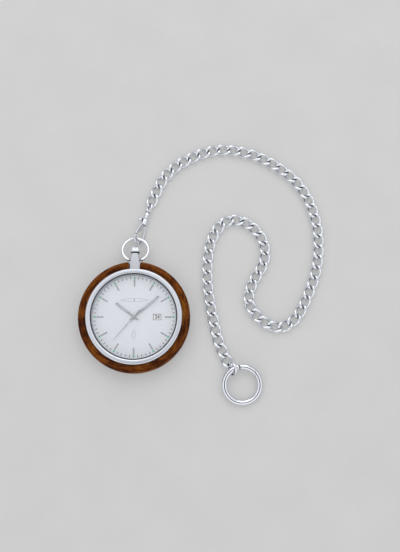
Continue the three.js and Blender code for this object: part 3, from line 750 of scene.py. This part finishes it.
LOZENGE_Y, LOZENGE_HALF_WIDTH, LOZENGE_HALF_HEIGHT = -7.9, 1.1, 2.9
PRINT_LINE, PRINT_FLATNESS, PRINT_RISE = 0.07, 0.25, 0.012


def make_dial_plate():
    """The dial: a disc with a bore for the pipes and a rectangular window for the date."""
    segments = 192
    bore = 0.95
    half_x, half_y = WINDOW_HALF
    levels = []
    work = bmesh.new()
    for z in (DIAL_BOTTOM, DIAL_TOP):
        loops = []
        for radius in (DIAL_RADIUS, bore):
            ring = [
                work.verts.new((radius * math.cos(a), radius * math.sin(a), z))
                for a in (TURN * i / segments for i in range(segments))
            ]
            loops.append(ring)
        corners = [(-half_x, -half_y), (half_x, -half_y), (half_x, half_y), (-half_x, half_y)]
        loops.append([work.verts.new((DATE_AT + x, y, z)) for x, y in corners])
        edges = []
        for ring in loops:
            edges += [work.edges.new((ring[i], ring[i - 1])) for i in range(len(ring))]
        bmesh.ops.triangle_fill(work, use_beauty=True, use_dissolve=False, edges=edges)
        levels.append(loops)
    for ring_low, ring_high in zip(*levels):
        for i in range(len(ring_low)):
            work.faces.new((ring_low[i - 1], ring_low[i], ring_high[i], ring_high[i - 1]))
    vertices = [tuple(v.co) for v in work.verts]
    work.verts.index_update()
    faces = [tuple(v.index for v in f.verts) for f in work.faces]
    work.free()
    dial = mesh_object("dial_plate", vertices, faces, DIAL, "watch", "dial", sharp=30)
    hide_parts("dial")


def make_minute_track():
    """A printed tick at each minute that has no hour marker."""
    ticks = []
    for minute in range(60):
        if minute % 5 == 0:
            continue
        tick = box(-0.14, 0.14, TRACK_INNER + 0.1, TRACK_OUTER, DIAL_TOP, DIAL_TOP + 0.02)
        ticks.append(placed(tick, about_z(MINUTE_STEP * minute)))
    mesh_object("minute_track", *joined(*ticks), GREY_INK, "watch", "dial")


def make_lume_dots():
    """A low green dot outside each hour marker."""
    dot = turned([(0, 0), (0.5, 0), (0.47, 0.06), (0.32, 0.12), (0, 0.14)], 24)
    dots = []
    for hour in range(12):
        spot = about_z(HOUR_STEP * hour) @ Matrix.Translation((0, DOT_AT, DIAL_TOP))
        dots.append(placed(dot, spot))
    mesh_object("lume_dots", *joined(*dots), LUME, "watch", "dial")


def roofed_bar(half_width, start, end, bottom, shoulder, ridge):
    """A bar along Y with two long facets that meet in a ridge, and sloping ends."""
    outline = [(-half_width, start), (half_width, start), (half_width, end), (-half_width, end)]
    vertices = [(x, y, bottom) for x, y in outline] + [(x, y, shoulder) for x, y in outline]
    vertices += [(0, start + MARKER_INSET, ridge), (0, end - MARKER_INSET, ridge)]
    faces = [(3, 2, 1, 0), (0, 1, 5, 4), (1, 2, 6, 5), (2, 3, 7, 6), (3, 0, 4, 7)]
    faces += [(4, 5, 8), (5, 6, 9, 8), (6, 7, 9), (7, 4, 8, 9)]
    return vertices, faces


def make_hour_markers():
    """A raised, faceted baton at each hour."""
    bar = roofed_bar(
        MARKER_HALF_WIDTH, MARKER_INNER, MARKER_OUTER, DIAL_TOP, DIAL_TOP + 0.1, MARKER_TOP
    )
    for hour in range(1, 13):
        part = placed(bar, about_z(HOUR_STEP * hour))
        mesh_object(f"hour_marker_{hour:02d}", *part, FACETS, "watch", "dial", sharp=10)


def make_date_frame():
    """A thin bevelled frame round the date window."""
    half_x, half_y = WINDOW_HALF
    levels = (
        (DATE_FRAME_WIDTH, 0),
        (DATE_FRAME_WIDTH - DATE_FRAME_BEVEL, DATE_FRAME_HEIGHT),
        (DATE_FRAME_BEVEL, DATE_FRAME_HEIGHT),
        (0, 0),
    )
    vertices = []
    for outwards, rise in levels:
        for sx, sy in ((-1, -1), (1, -1), (1, 1), (-1, 1)):
            x, y = DATE_AT + sx * (half_x + outwards), sy * (half_y + outwards)
            vertices.append((x, y, DIAL_TOP + rise))
    faces = grid_faces(len(levels), 4, close_rows=True)
    mesh_object("date_frame", vertices, faces, DARK_EDGE, "watch", "dial", sharp=20)


def printed_line(points, closed):
    """A fine printed line on the dial through points of (x, y)."""
    path = [(x, y, DIAL_TOP + PRINT_RISE) for x, y in points]
    return tube(path, PRINT_LINE, 6, closed=closed, flat=PRINT_FLATNESS, up=UP)


def make_ornaments():
    """Two plain printed ornaments of fine lines: a lens with a dot, and a lozenge in another."""
    lens = []
    steps = 24
    for side in (-1, 1):
        points = []
        for i in range(steps + 1):
            t = i / steps * 2 - 1
            points.append((LENS_HALF_WIDTH * t, LENS_Y + side * LENS_HALF_HEIGHT * (1 - t * t)))
        lens.append(printed_line(points, closed=False))
    dot = turned([(0, 0), (0.38, 0), (0.3, 0.03), (0, 0.03)], 24)
    lens.append(placed(dot, Matrix.Translation((0, LENS_Y, DIAL_TOP))))
    mesh_object("upper_ornament", *joined(*lens), PALE_INK, "watch", "dial")
    lozenges = []
    for size in (1.0, 0.62):
        half_x, half_y = LOZENGE_HALF_WIDTH * size, LOZENGE_HALF_HEIGHT * size
        points = [(0, LOZENGE_Y + half_y), (half_x, LOZENGE_Y)]
        points += [(0, LOZENGE_Y - half_y), (-half_x, LOZENGE_Y)]
        lozenges.append(printed_line(points, closed=True))
    mesh_object("lower_ornament", *joined(*lozenges), PALE_INK, "watch", "dial")


def make_rehaut():
    """The sloping ring between the dial and the crystal."""
    bottom, top = low("rehaut_ring").z, high("rehaut_ring").z
    profile = [(DIAL_VISIBLE, bottom), (DIAL_RADIUS, bottom)]
    profile += [(DIAL_RADIUS, top), (DIAL_VISIBLE + 0.4, top)]
    part = turned(rounded_profile(profile, 0.06, 2), DISC_SEGMENTS)
    ring = mesh_object("rehaut", *part, REHAUT, "watch", "brushed_steel", sharp=40)
    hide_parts("rehaut_ring")


def make_date_numbers():
    """The numbers 1 to 31 on the date disc, upright as they pass the window at three o'clock."""
    above_disc = high("date_disc").z + DATE_THICKNESS
    for day in range(1, DAYS + 1):
        text = bpy.data.curves.new(f"date_{day:02d}", "FONT")
        text.body = str(day)
        text.size = DATE_SIZE * MM
        text.offset = DATE_WEIGHT * MM
        text.align_x = "CENTER"
        text.align_y = "CENTER"
        text.extrude = DATE_THICKNESS * MM
        maker = linked(text.name, text)
        bpy.context.view_layer.update()
        shown = maker.evaluated_get(bpy.context.evaluated_depsgraph_get())
        mesh = bpy.data.meshes.new_from_object(shown)
        bpy.data.objects.remove(maker)
        turn = Matrix.Rotation(TURN * (day - DATE_SHOWN) / DAYS, 4, "Z")
        mesh.transform(turn @ Matrix.Translation(Vector((DATE_AT, 0, above_disc)) * MM))
        mesh.materials.clear()
        mesh.materials.append(GREY_INK)
        number = linked(f"date_number_{day:02d}", mesh)
        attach(number, "date_disc")


make_dial_plate()
make_minute_track()
make_lume_dots()
make_hour_markers()
make_date_frame()
make_ornaments()
make_rehaut()
make_date_numbers()

# ---- hands

HOUR_ANGLE, MINUTE_ANGLE, SECOND_ANGLE = 307, 50, 221  # degrees clockwise from twelve
HAND_THICKNESS = 0.2
BATON_TAIL = 2.4
NEEDLE_LENGTH = 13.7


def hub(radius, bottom, top):
    """The round boss of a hand, with a chamfered top."""
    profile = [(0, bottom), (radius, bottom), (radius, top - 0.05), (radius - 0.12, top), (0, top)]
    return turned(profile, 40)


def make_baton_hand(name, length, half_width, root, angle, hub_radius):
    """A baton hand: a narrow tail and root, a parallel blade and a pale insert."""
    bottom, top = high(name).z - HAND_THICKNESS, high(name).z
    widest, shoulder = length * 0.30, length - 0.35
    outline = [(-root, -BATON_TAIL), (root, -BATON_TAIL), (root * 0.8, 1.0), (half_width, widest)]
    outline += [(half_width, shoulder), (0.12, length), (-0.12, length)]
    outline += [(-half_width, shoulder), (-half_width, widest), (-root * 0.8, 1.0)]
    part = joined(plate(outline, bottom, top - 0.04), hub(hub_radius, bottom, top))
    blade = mesh_object(
        name + "_blade", *placed(part, about_z(angle)), FACETS, name, "hands", sharp=30
    )
    bevelled(blade, 0.05, 2)
    insert_half = half_width * 0.42
    insert = box(-insert_half, insert_half, length * 0.36, length - 0.9, top - 0.05, top - 0.005)
    mesh_object(name + "_insert", *placed(insert, about_z(angle)), PALE_LUME, name, "hands")
    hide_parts(name)


def make_second_hand():
    """A tapering needle with a wider counterweight behind the hub."""
    name = "second_hand"
    bottom, top = high(name).z - HAND_THICKNESS, high(name).z
    outline = [(-0.17, -4), (0.17, -4), (0.15, 0)]
    outline += [(0.12, NEEDLE_LENGTH), (-0.12, NEEDLE_LENGTH), (-0.15, 0)]
    needle = plate(outline, bottom + 0.03, top - 0.03)
    weight = plate([(-0.3, -4), (0.3, -4), (0.24, -2.2), (-0.24, -2.2)], bottom + 0.02, top - 0.02)
    part = placed(joined(needle, weight, hub(0.62, bottom, top)), about_z(SECOND_ANGLE))
    piece = mesh_object("second_hand_needle", *part, FACETS, name, "hands", sharp=30)
    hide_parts(name)


make_baton_hand("hour_hand", 10.3, 0.5, 0.34, HOUR_ANGLE, 1.15)
make_baton_hand("minute_hand", 14.4, 0.42, 0.3, MINUTE_ANGLE, 0.95)
make_second_hand()

# ---- crown and bow

CROWN_FLUTES = 28
FLUTE_DEPTH = 0.05  # share of the radius
FLUTED_POINTS = range(4, 9)  # of the crown's profile
BOW_WIRE = 0.7
BOW_TILT = math.radians(9.3)
BOW_FOOT_RADIUS = 0.76
BOW_FOOT_GAP = 0.33


def make_crown():
    """A fluted onion crown."""
    bottom = low("crown").y
    height = high("crown").y - bottom
    radius = high("crown").x
    profile = [
        (0, 0.05),
        (radius * 0.5, 0.0),
        (radius * 0.84, 0.0),
        (radius * 0.96, 0.1),
        (radius * 0.98, 0.3),
        (radius * 0.98, height * 0.26),
        (radius * 0.93, height * 0.42),
        (radius * 0.80, height * 0.62),
        (radius * 0.60, height * 0.80),
        (radius * 0.40, height * 0.90),
        (radius * 0.36, height * 0.93),
        (radius * 0.30, height * 0.97),
        (radius * 0.12, height),
        (0, height),
    ]

    def fluting(angle, index):
        depth = FLUTE_DEPTH if index in FLUTED_POINTS else 0
        return 1 - depth * (0.5 - 0.5 * math.cos(CROWN_FLUTES * angle)) ** 1.5

    part = placed(turned(profile, 224, wave=fluting), Y_AXIS)
    spot = Matrix.Translation((0, bottom, STEM_Z))
    crown = mesh_object("crown_fluted", *part, MIRROR, "crown", "polished_steel", spot, sharp=50)
    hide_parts("crown")


def make_gasket():
    """The rubber ring under the crown."""
    bottom, top = low("crown_gasket").y, high("crown_gasket").y
    radius, bore = high("crown_gasket").x, 0.6
    corners = [(bore, bottom), (radius, bottom), (radius, top), (bore, top)]
    profile = rounded_profile(corners, 0.12, 3)
    part = placed(turned(profile, 64), Y_AXIS)
    spot = Matrix.Translation((0, 0, STEM_Z))
    ring = mesh_object("crown_seal", *part, RUBBER, "crown_gasket", "rubber", spot)
    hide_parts("crown_gasket")


def make_bow():
    """The bow: an oval of round wire that thickens into two rounded feet on pins."""
    half_width = high("bow").x - BOW_WIRE
    reach = (joint_point("clasp_swing") - PIVOT).length + 0.13
    foot = NECK_HALF + BOW_FOOT_GAP + BOW_FOOT_RADIUS
    dip = math.acos(foot / half_width)
    half_height = reach / (1 + math.sin(dip))
    centre = reach - half_height
    path = []
    steps = 96
    for i in range(steps + 1):
        angle = -dip + (math.pi + 2 * dip) * i / steps
        path.append((half_width * math.cos(angle), centre + half_height * math.sin(angle), 0))
    parts = [tube(path, BOW_WIRE, 20)]
    half_length = 0.7
    profile = [(0, -half_length), (0.45, -half_length), (0.72, -0.45), (BOW_FOOT_RADIUS, 0.0)]
    profile += [(0.72, 0.45), (0.45, half_length), (0, half_length)]
    knuckle = turned(profile, 32)
    pin = turned([(0, 1.05), (0.42, 1.05), (0.5, 1.13), (0.5, foot), (0, foot)], 28)
    turn = Matrix.Rotation(math.pi / 2, 4, "Y")
    for side in (-1, 1):
        parts.append(placed(knuckle, Matrix.Translation((side * foot, 0, 0)) @ turn))
        parts.append(placed(pin, Matrix.Rotation(side * math.pi / 2, 4, "Y")))
    place = Matrix.Translation(PIVOT) @ Matrix.Rotation(-BOW_TILT, 4, "X")
    bow = mesh_object(
        "bow_wire", *joined(*parts), MIRROR, "bow", "polished_steel", place, sharp=60
    )
    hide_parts("bow")


make_crown()
make_gasket()
make_bow()

# ---- snap clasp

CLASP = frame_of(joint_point("clasp_swing"), joint_axis("swivel_turn"), joint_axis("clasp_gate_open"))
GATE_PIVOT = (-0.45, 7.9)
HOOK_INNER, HOOK_OUTER = 1.9, 3.05
HOOK_CENTRE = 0.65
HOOK_HALF = 0.55
HEAD_BOTTOM = 6.9
HEAD_RADIUS = 1.7
SLOT_TOP = 9.7
SLOT_HALF = 0.7
ARM_INNER = 0.77
GATE_TIP_Y = 1.6
GATE_TIP_GAP = 0.15
GATE_HEEL_RADIUS = 0.75
KNOB_AT = (-2.8, 8.7)
COLLAR_BOTTOM = 13.45
EYE_HALF = 1.4
EYE_WIRE = 0.55
EYE_TOP = COLLAR_BOTTOM + 4.2


def clasp_piece(name, part, body, sharp=None, place=CLASP):
    """A bright steel piece of the clasp."""
    return mesh_object(name, *part, MIRROR, body, "polished_steel", place, sharp=sharp)


def make_clasp_body():
    """The hook with its arm, and the slotted head that holds the gate and the swivel."""
    px, py = GATE_PIVOT
    sweep = math.hypot(HOOK_OUTER + px, py - GATE_TIP_Y) + GATE_TIP_GAP

    def tip(x):
        return py - math.sqrt(sweep**2 - (x - px) ** 2)

    arm_top = 7.6
    outline = [(-HOOK_INNER, tip(-HOOK_INNER))]
    outline += arc_points(0, HOOK_CENTRE, HOOK_INNER, 180, 360, 24)
    outline += [(1.62, 3.4), (1.2, 5.4), (ARM_INNER, arm_top)]
    outline += [(1.6, arm_top), (1.66, 6.6), (2.35, 4.2)]
    outline += arc_points(0, HOOK_CENTRE, HOOK_OUTER, 0, -180, 28)
    outline += [(-HOOK_OUTER, tip(-HOOK_OUTER))]
    outline.reverse()
    hook = clasp_piece("clasp_hook", plate(outline, -HOOK_HALF, HOOK_HALF), "clasp", 30)
    bevelled(hook, 0.3, 4)
    profile = [
        (0.35, HEAD_BOTTOM + 0.5),
        (HEAD_RADIUS * 0.8, HEAD_BOTTOM),
        (HEAD_RADIUS, HEAD_BOTTOM + 0.45),
        (HEAD_RADIUS, SLOT_TOP - 0.2),
        (0.85, 10.7),
        (0.85, 11.05),
        (1.25, 11.5),
        (1.25, 12.6),
        (0.95, COLLAR_BOTTOM - 0.1),
        (0.5, COLLAR_BOTTOM - 0.1),
        (0.5, SLOT_TOP),
        (0.35, SLOT_TOP),
    ]
    part = placed(turned(rounded_profile(profile, 0.18, 3), 64), Y_AXIS)
    head = clasp_piece("clasp_head", part, "clasp", 60)
    slot = box(-4, ARM_INNER, 6, SLOT_TOP, -SLOT_HALF, SLOT_HALF)
    cut_with(head, clasp_piece("tool", slot, "clasp"))
    head.data.set_sharp_from_angle(angle=math.radians(40))
    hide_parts("clasp_body")


def make_clasp_gate():
    """The sprung lever that closes the hook, with a thumb knob on its heel."""
    px, py = GATE_PIVOT
    tip_x, inner_x = -HOOK_OUTER, -HOOK_OUTER + 1.1
    knob_x = KNOB_AT[0]
    outline = [(tip_x, GATE_TIP_Y), (inner_x, GATE_TIP_Y), (inner_x + 0.4, 2.6)]
    outline += [(-0.75, 3.35), (-0.3, 3.95), (px + GATE_HEEL_RADIUS, py)]
    outline += arc_points(px, py, GATE_HEEL_RADIUS, 0, 150, 12)
    outline += [(knob_x, py + 0.8), (knob_x, py - 0.1), (px - 1.15, py - 0.9), (tip_x + 0.3, 4.2)]
    lever = clasp_piece("gate_lever", plate(outline, -HOOK_HALF, HOOK_HALF), "clasp_gate", 30)
    bevelled(lever, 0.26, 4)
    half = [(0.45, 0.78), (0.78, 0.45)]
    profile = [(0, -0.9)] + [(r, -z) for r, z in half] + [(0.9, 0)] + half[::-1] + [(0, 0.9)]
    place = CLASP @ Matrix.Translation((*KNOB_AT, 0))
    knob = clasp_piece("gate_knob", turned(profile, 32), "clasp_gate", 70, place)
    knob.modifiers.new("round", "SUBSURF").render_levels = 2
    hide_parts("clasp_gate")


def make_swivel():
    """A stem in the clasp's head, a collar, and a pear-shaped eye across the clasp."""
    corners = [
        (0.0, 9.3),
        (0.4, 9.3),
        (0.4, COLLAR_BOTTOM),
        (1.25, COLLAR_BOTTOM),
        (1.25, COLLAR_BOTTOM + 0.42),
        (1.0, COLLAR_BOTTOM + 0.65),
        (0.0, COLLAR_BOTTOM + 0.65),
    ]
    stem = placed(turned(rounded_profile(corners, 0.1, 3), 48), Y_AXIS)
    shoulder = EYE_TOP - EYE_HALF
    foot = COLLAR_BOTTOM + 0.3
    left = [(-EYE_HALF * 0.55, foot), (-EYE_HALF * 0.66, foot + 0.5)]
    left += [(-EYE_HALF * 0.84, foot + 1.1), (-EYE_HALF * 0.97, shoulder - 0.5)]
    bend = arc_points(0, shoulder, EYE_HALF, 180, 0, 24)
    right = [(-x, y) for x, y in reversed(left)]
    path = [(0, y, -x) for x, y in left + bend + right]
    eye = tube(path, EYE_WIRE, 16, up=Vector((1, 0, 0)))
    piece = clasp_piece("swivel_loop", joined(stem, eye), "swivel", 50)
    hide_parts("swivel_eye")


make_clasp_body()
make_clasp_gate()
make_swivel()

# ---- curb chain

LINK_WIRE = 0.62
LINK_HALF_LENGTH = 8.06 * LINK_WIRE / 2 + LINK_WIRE
LINK_HALF_WIDTH = 3.42 * LINK_WIRE
LINK_TWIST = math.radians(45)
LINK_SQUARENESS = 2.5
TWIST_SPREAD = 0.8
LINK_STEPS, LINK_SIDES = 44, 12
PAIRS = 31


def signed_power(value, power):
    return math.copysign(abs(value) ** power, value)


def link_mesh():
    """One curb link: a squarish oval of round wire, twisted about its length."""
    path = []
    for i in range(LINK_STEPS):
        angle = TURN * i / LINK_STEPS
        x = LINK_HALF_LENGTH * signed_power(math.cos(angle), 2 / LINK_SQUARENESS)
        across = LINK_HALF_WIDTH * signed_power(math.sin(angle), 2 / LINK_SQUARENESS)
        twist = LINK_TWIST * signed_power(x / LINK_HALF_LENGTH, TWIST_SPREAD)
        path.append(Vector((x, across * math.cos(twist), -across * math.sin(twist))))
    return tube(even_points(path, LINK_STEPS), LINK_WIRE, LINK_SIDES, closed=True)


def even_points(path, count):
    """A closed path's points at even distances."""
    closed = path + [path[0]]
    lengths = [0.0]
    for a, b in zip(closed, closed[1:]):
        lengths.append(lengths[-1] + (b - a).length)
    spaced = []
    k = 0
    for i in range(count):
        want = lengths[-1] * i / count
        while lengths[k + 1] < want:
            k += 1
        share = (want - lengths[k]) / (lengths[k + 1] - lengths[k])
        spaced.append(closed[k].lerp(closed[k + 1], share))
    return spaced


def pair_contacts(pair):
    """Where a pair of links touches the one before, where its two links meet, and its end.

    The last pair has no joint at its end, and runs straight on through its mean point.
    """
    kinds = ("fold", "bend")
    start = joint_point(f"{kinds[(pair - 1) % 2]}_{pair:02d}")
    mesh = frame["nodes"][f"links_{pair:02d}"].data
    points = np.empty(len(mesh.vertices) * 3)
    mesh.vertices.foreach_get("co", points)
    mean = Vector(points.reshape(-1, 3).mean(axis=0)) / MM
    if pair < PAIRS:
        end = joint_point(f"{kinds[pair % 2]}_{pair + 1:02d}")
    else:
        end = mean * 2 - start
    middle = (mean * 4 - start - end) / 2
    return start, middle, end


def link_place(start, end):
    """A level frame between two contacts, with X along the chain."""
    along = end - start
    matrix = Matrix.Rotation(math.atan2(along.y, along.x), 4, "Z")
    matrix.translation = (start + end) / 2
    return matrix


def make_links():
    link = link_mesh()
    for pair in range(1, PAIRS + 1):
        start, middle, end = pair_contacts(pair)
        body = f"links_{pair:02d}"
        for index, (a, b) in enumerate(((start, middle), (middle, end))):
            name = f"link_{2 * pair - 1 + index:02d}"
            piece = mesh_object(name, *link, POLISHED, body, "polished_steel", link_place(a, b))
        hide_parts(body)


make_links()

# ---- jump ring and end ring

JUMP_AXIS = joint_axis("connecting_ring_slip")
JUMP = frame_of(joint_point("connecting_ring_slip"), Vector((0, 1, 0)), JUMP_AXIS)
JUMP_RADIUS, JUMP_WIRE = 2.9, 0.55
JUMP_START, JUMP_SWEEP = 70, 358  # degrees; the rest is the seam
RING_WIRE = 1.4
RING_RADIUS = 7.95
RING_HINGE = 106  # degrees
RING_NOSE = 43
NOSE_SLANT = 95
NOSE_GAP = 0.06  # cut from each side of the nose
TONGUE_RADIUS, TONGUE_HALF = RING_WIRE - 0.15, 0.65
HINGE_SLOT_RADIUS, HINGE_SLOT_HALF = RING_WIRE + 0.15, 0.75


def ring_arc(radius, start, end, steps):
    return [(x, y, 0) for x, y in arc_points(0, 0, radius, start, end, steps)]


def make_jump_ring():
    """A ring of bent wire with a fine sawn seam."""
    path = ring_arc(JUMP_RADIUS, JUMP_START, JUMP_START + JUMP_SWEEP, 72)
    part = tube(path, JUMP_WIRE, 16, up=UP)
    ring = mesh_object(
        "jump_ring", *part, POLISHED, "connecting_ring", "polished_steel", JUMP, sharp=60
    )
    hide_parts("connecting_ring")


def ring_frame():
    """The end ring's frame: X points at 0 degrees, and its hinge lies at RING_HINGE."""
    centre = joint_point("end_ring_turn")
    normal = joint_axis("end_ring_turn")
    to_hinge = joint_point("end_ring_gate_open") - centre
    turn = Matrix.Rotation(-math.radians(RING_HINGE - 90), 4, normal)
    return frame_of(centre, turn @ to_hinge, normal)


def on_ring(degrees):
    """The matrix that moves to a point of the end ring's centre line."""
    angle = math.radians(degrees)
    return Matrix.Translation(Vector((math.cos(angle), math.sin(angle), 0)) * RING_RADIUS)


def ball(radius):
    half_circle = arc_points(0, 0, radius, -90, 90, 24)
    return turned([(max(r, 0), z) for r, z in half_circle], 48)


def disc(radius, half):
    return turned([(0, -half), (radius, -half), (radius, half), (0, half)], 48)


def make_end_ring():
    """The open ring with two hinge ears, and the gate whose tongue turns between them."""
    place = ring_frame()
    at_hinge = on_ring(RING_HINGE)
    slant = on_ring(RING_NOSE) @ Matrix.Rotation(math.radians(NOSE_SLANT), 4, "Z")

    def piece_of(name, part, body, matrix=Matrix.Identity(4)):
        part = placed(part, matrix)
        return mesh_object(name, *part, MIRROR, body, "polished_steel", place, sharp=40)

    def cut(piece, part, body, matrix, operation="DIFFERENCE"):
        cut_with(piece, piece_of("tool", part, body, matrix), operation)

    path = ring_arc(RING_RADIUS, RING_HINGE, 360 + RING_NOSE + 14, 150)
    ring = piece_of("end_ring_body", tube(path, RING_WIRE, 28, up=UP), "end_ring")
    cut(ring, box(-4, 4, -NOSE_GAP, 4, -3, 3), "end_ring", slant)
    cut(ring, ball(RING_WIRE), "end_ring", at_hinge, "UNION")
    cut(ring, disc(HINGE_SLOT_RADIUS, HINGE_SLOT_HALF), "end_ring", at_hinge)
    path = ring_arc(RING_RADIUS, RING_NOSE - 20, RING_HINGE, 60)
    gate = piece_of("end_ring_gate_bar", tube(path, RING_WIRE, 28, up=UP), "end_ring_gate")
    cut(gate, box(-5, 5, -6, NOSE_GAP, -3, 3), "end_ring_gate", slant)
    cut(gate, disc(HINGE_SLOT_RADIUS, 3), "end_ring_gate", at_hinge)
    part = disc(TONGUE_RADIUS, TONGUE_HALF)
    tongue = piece_of("end_ring_tongue", part, "end_ring_gate", at_hinge)
    bevelled(tongue, 0.12, 2)
    for piece in (ring, gate):
        piece.data.set_sharp_from_angle(angle=math.radians(40))
    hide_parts("end_ring")
    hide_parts("end_ring_gate")


make_jump_ring()
make_end_ring()

# ---- table and light

TABLE_HALF = 1500
LAMP_PLACE, LAMP_AIM = Vector((60, 620, 620)), Vector((30, 20, 0))
LAMP_SIZE, LAMP_POWER = 700, 1.6
DOME_STRENGTH = 1.1
# Brightness of the dome by the cosine of the angle from the opening's middle.
DOME = ((0.0, 0.5), (0.15, 0.42), (0.34, 0.62), (0.6, 1.0), (0.955, 1.0), (0.968, 0.02), (1.0, 0.02))


def make_table():
    mesh = bpy.data.meshes.new("table")
    half = TABLE_HALF * MM
    corners = [(-half, -half, 0), (half, -half, 0), (half, half, 0), (-half, half, 0)]
    mesh.from_pydata(corners, [], [(0, 1, 2, 3)])
    table = linked("table", mesh)
    mesh.materials.append(table_top())


def make_lamp():
    """A large soft lamp, high above the far side of the table."""
    data = bpy.data.lights.new("key", "AREA")
    data.shape = "SQUARE"
    data.size = LAMP_SIZE * MM
    data.energy = LAMP_POWER
    lamp = linked("key", data)
    lamp.location = LAMP_PLACE * MM
    lamp.rotation_euler = (LAMP_AIM - LAMP_PLACE).to_track_quat("-Z", "Y").to_euler()


def make_world():
    """A white dome with a dark opening where the camera stands, dimmer near the horizon."""
    world = bpy.data.worlds.new("studio")
    bpy.context.scene.world = world
    world.use_nodes = True
    tree = world.node_tree
    background = tree.nodes["Background"]
    direction = tree.nodes.new("ShaderNodeTexCoord")
    towards = tree.nodes.new("ShaderNodeVectorMath")
    towards.operation = "DOT_PRODUCT"
    towards.inputs[1].default_value = (0, -math.sin(VIEW_TILT), math.cos(VIEW_TILT))
    ramp = tree.nodes.new("ShaderNodeValToRGB")
    tree.links.new(direction.outputs["Generated"], towards.inputs[0])
    tree.links.new(towards.outputs["Value"], ramp.inputs["Fac"])
    tree.links.new(ramp.outputs["Color"], background.inputs["Color"])
    elements = ramp.color_ramp.elements
    while len(elements) < len(DOME):
        elements.new(0.5)
    for element, (position, value) in zip(elements, DOME):
        element.position = position
        element.color = (value, value, value * 1.02, 1)
    background.inputs["Strength"].default_value = DOME_STRENGTH


make_table()
make_world()
make_lamp()
bpy.context.scene.view_settings.view_transform = "Standard"

bpy.context.view_layer.update()
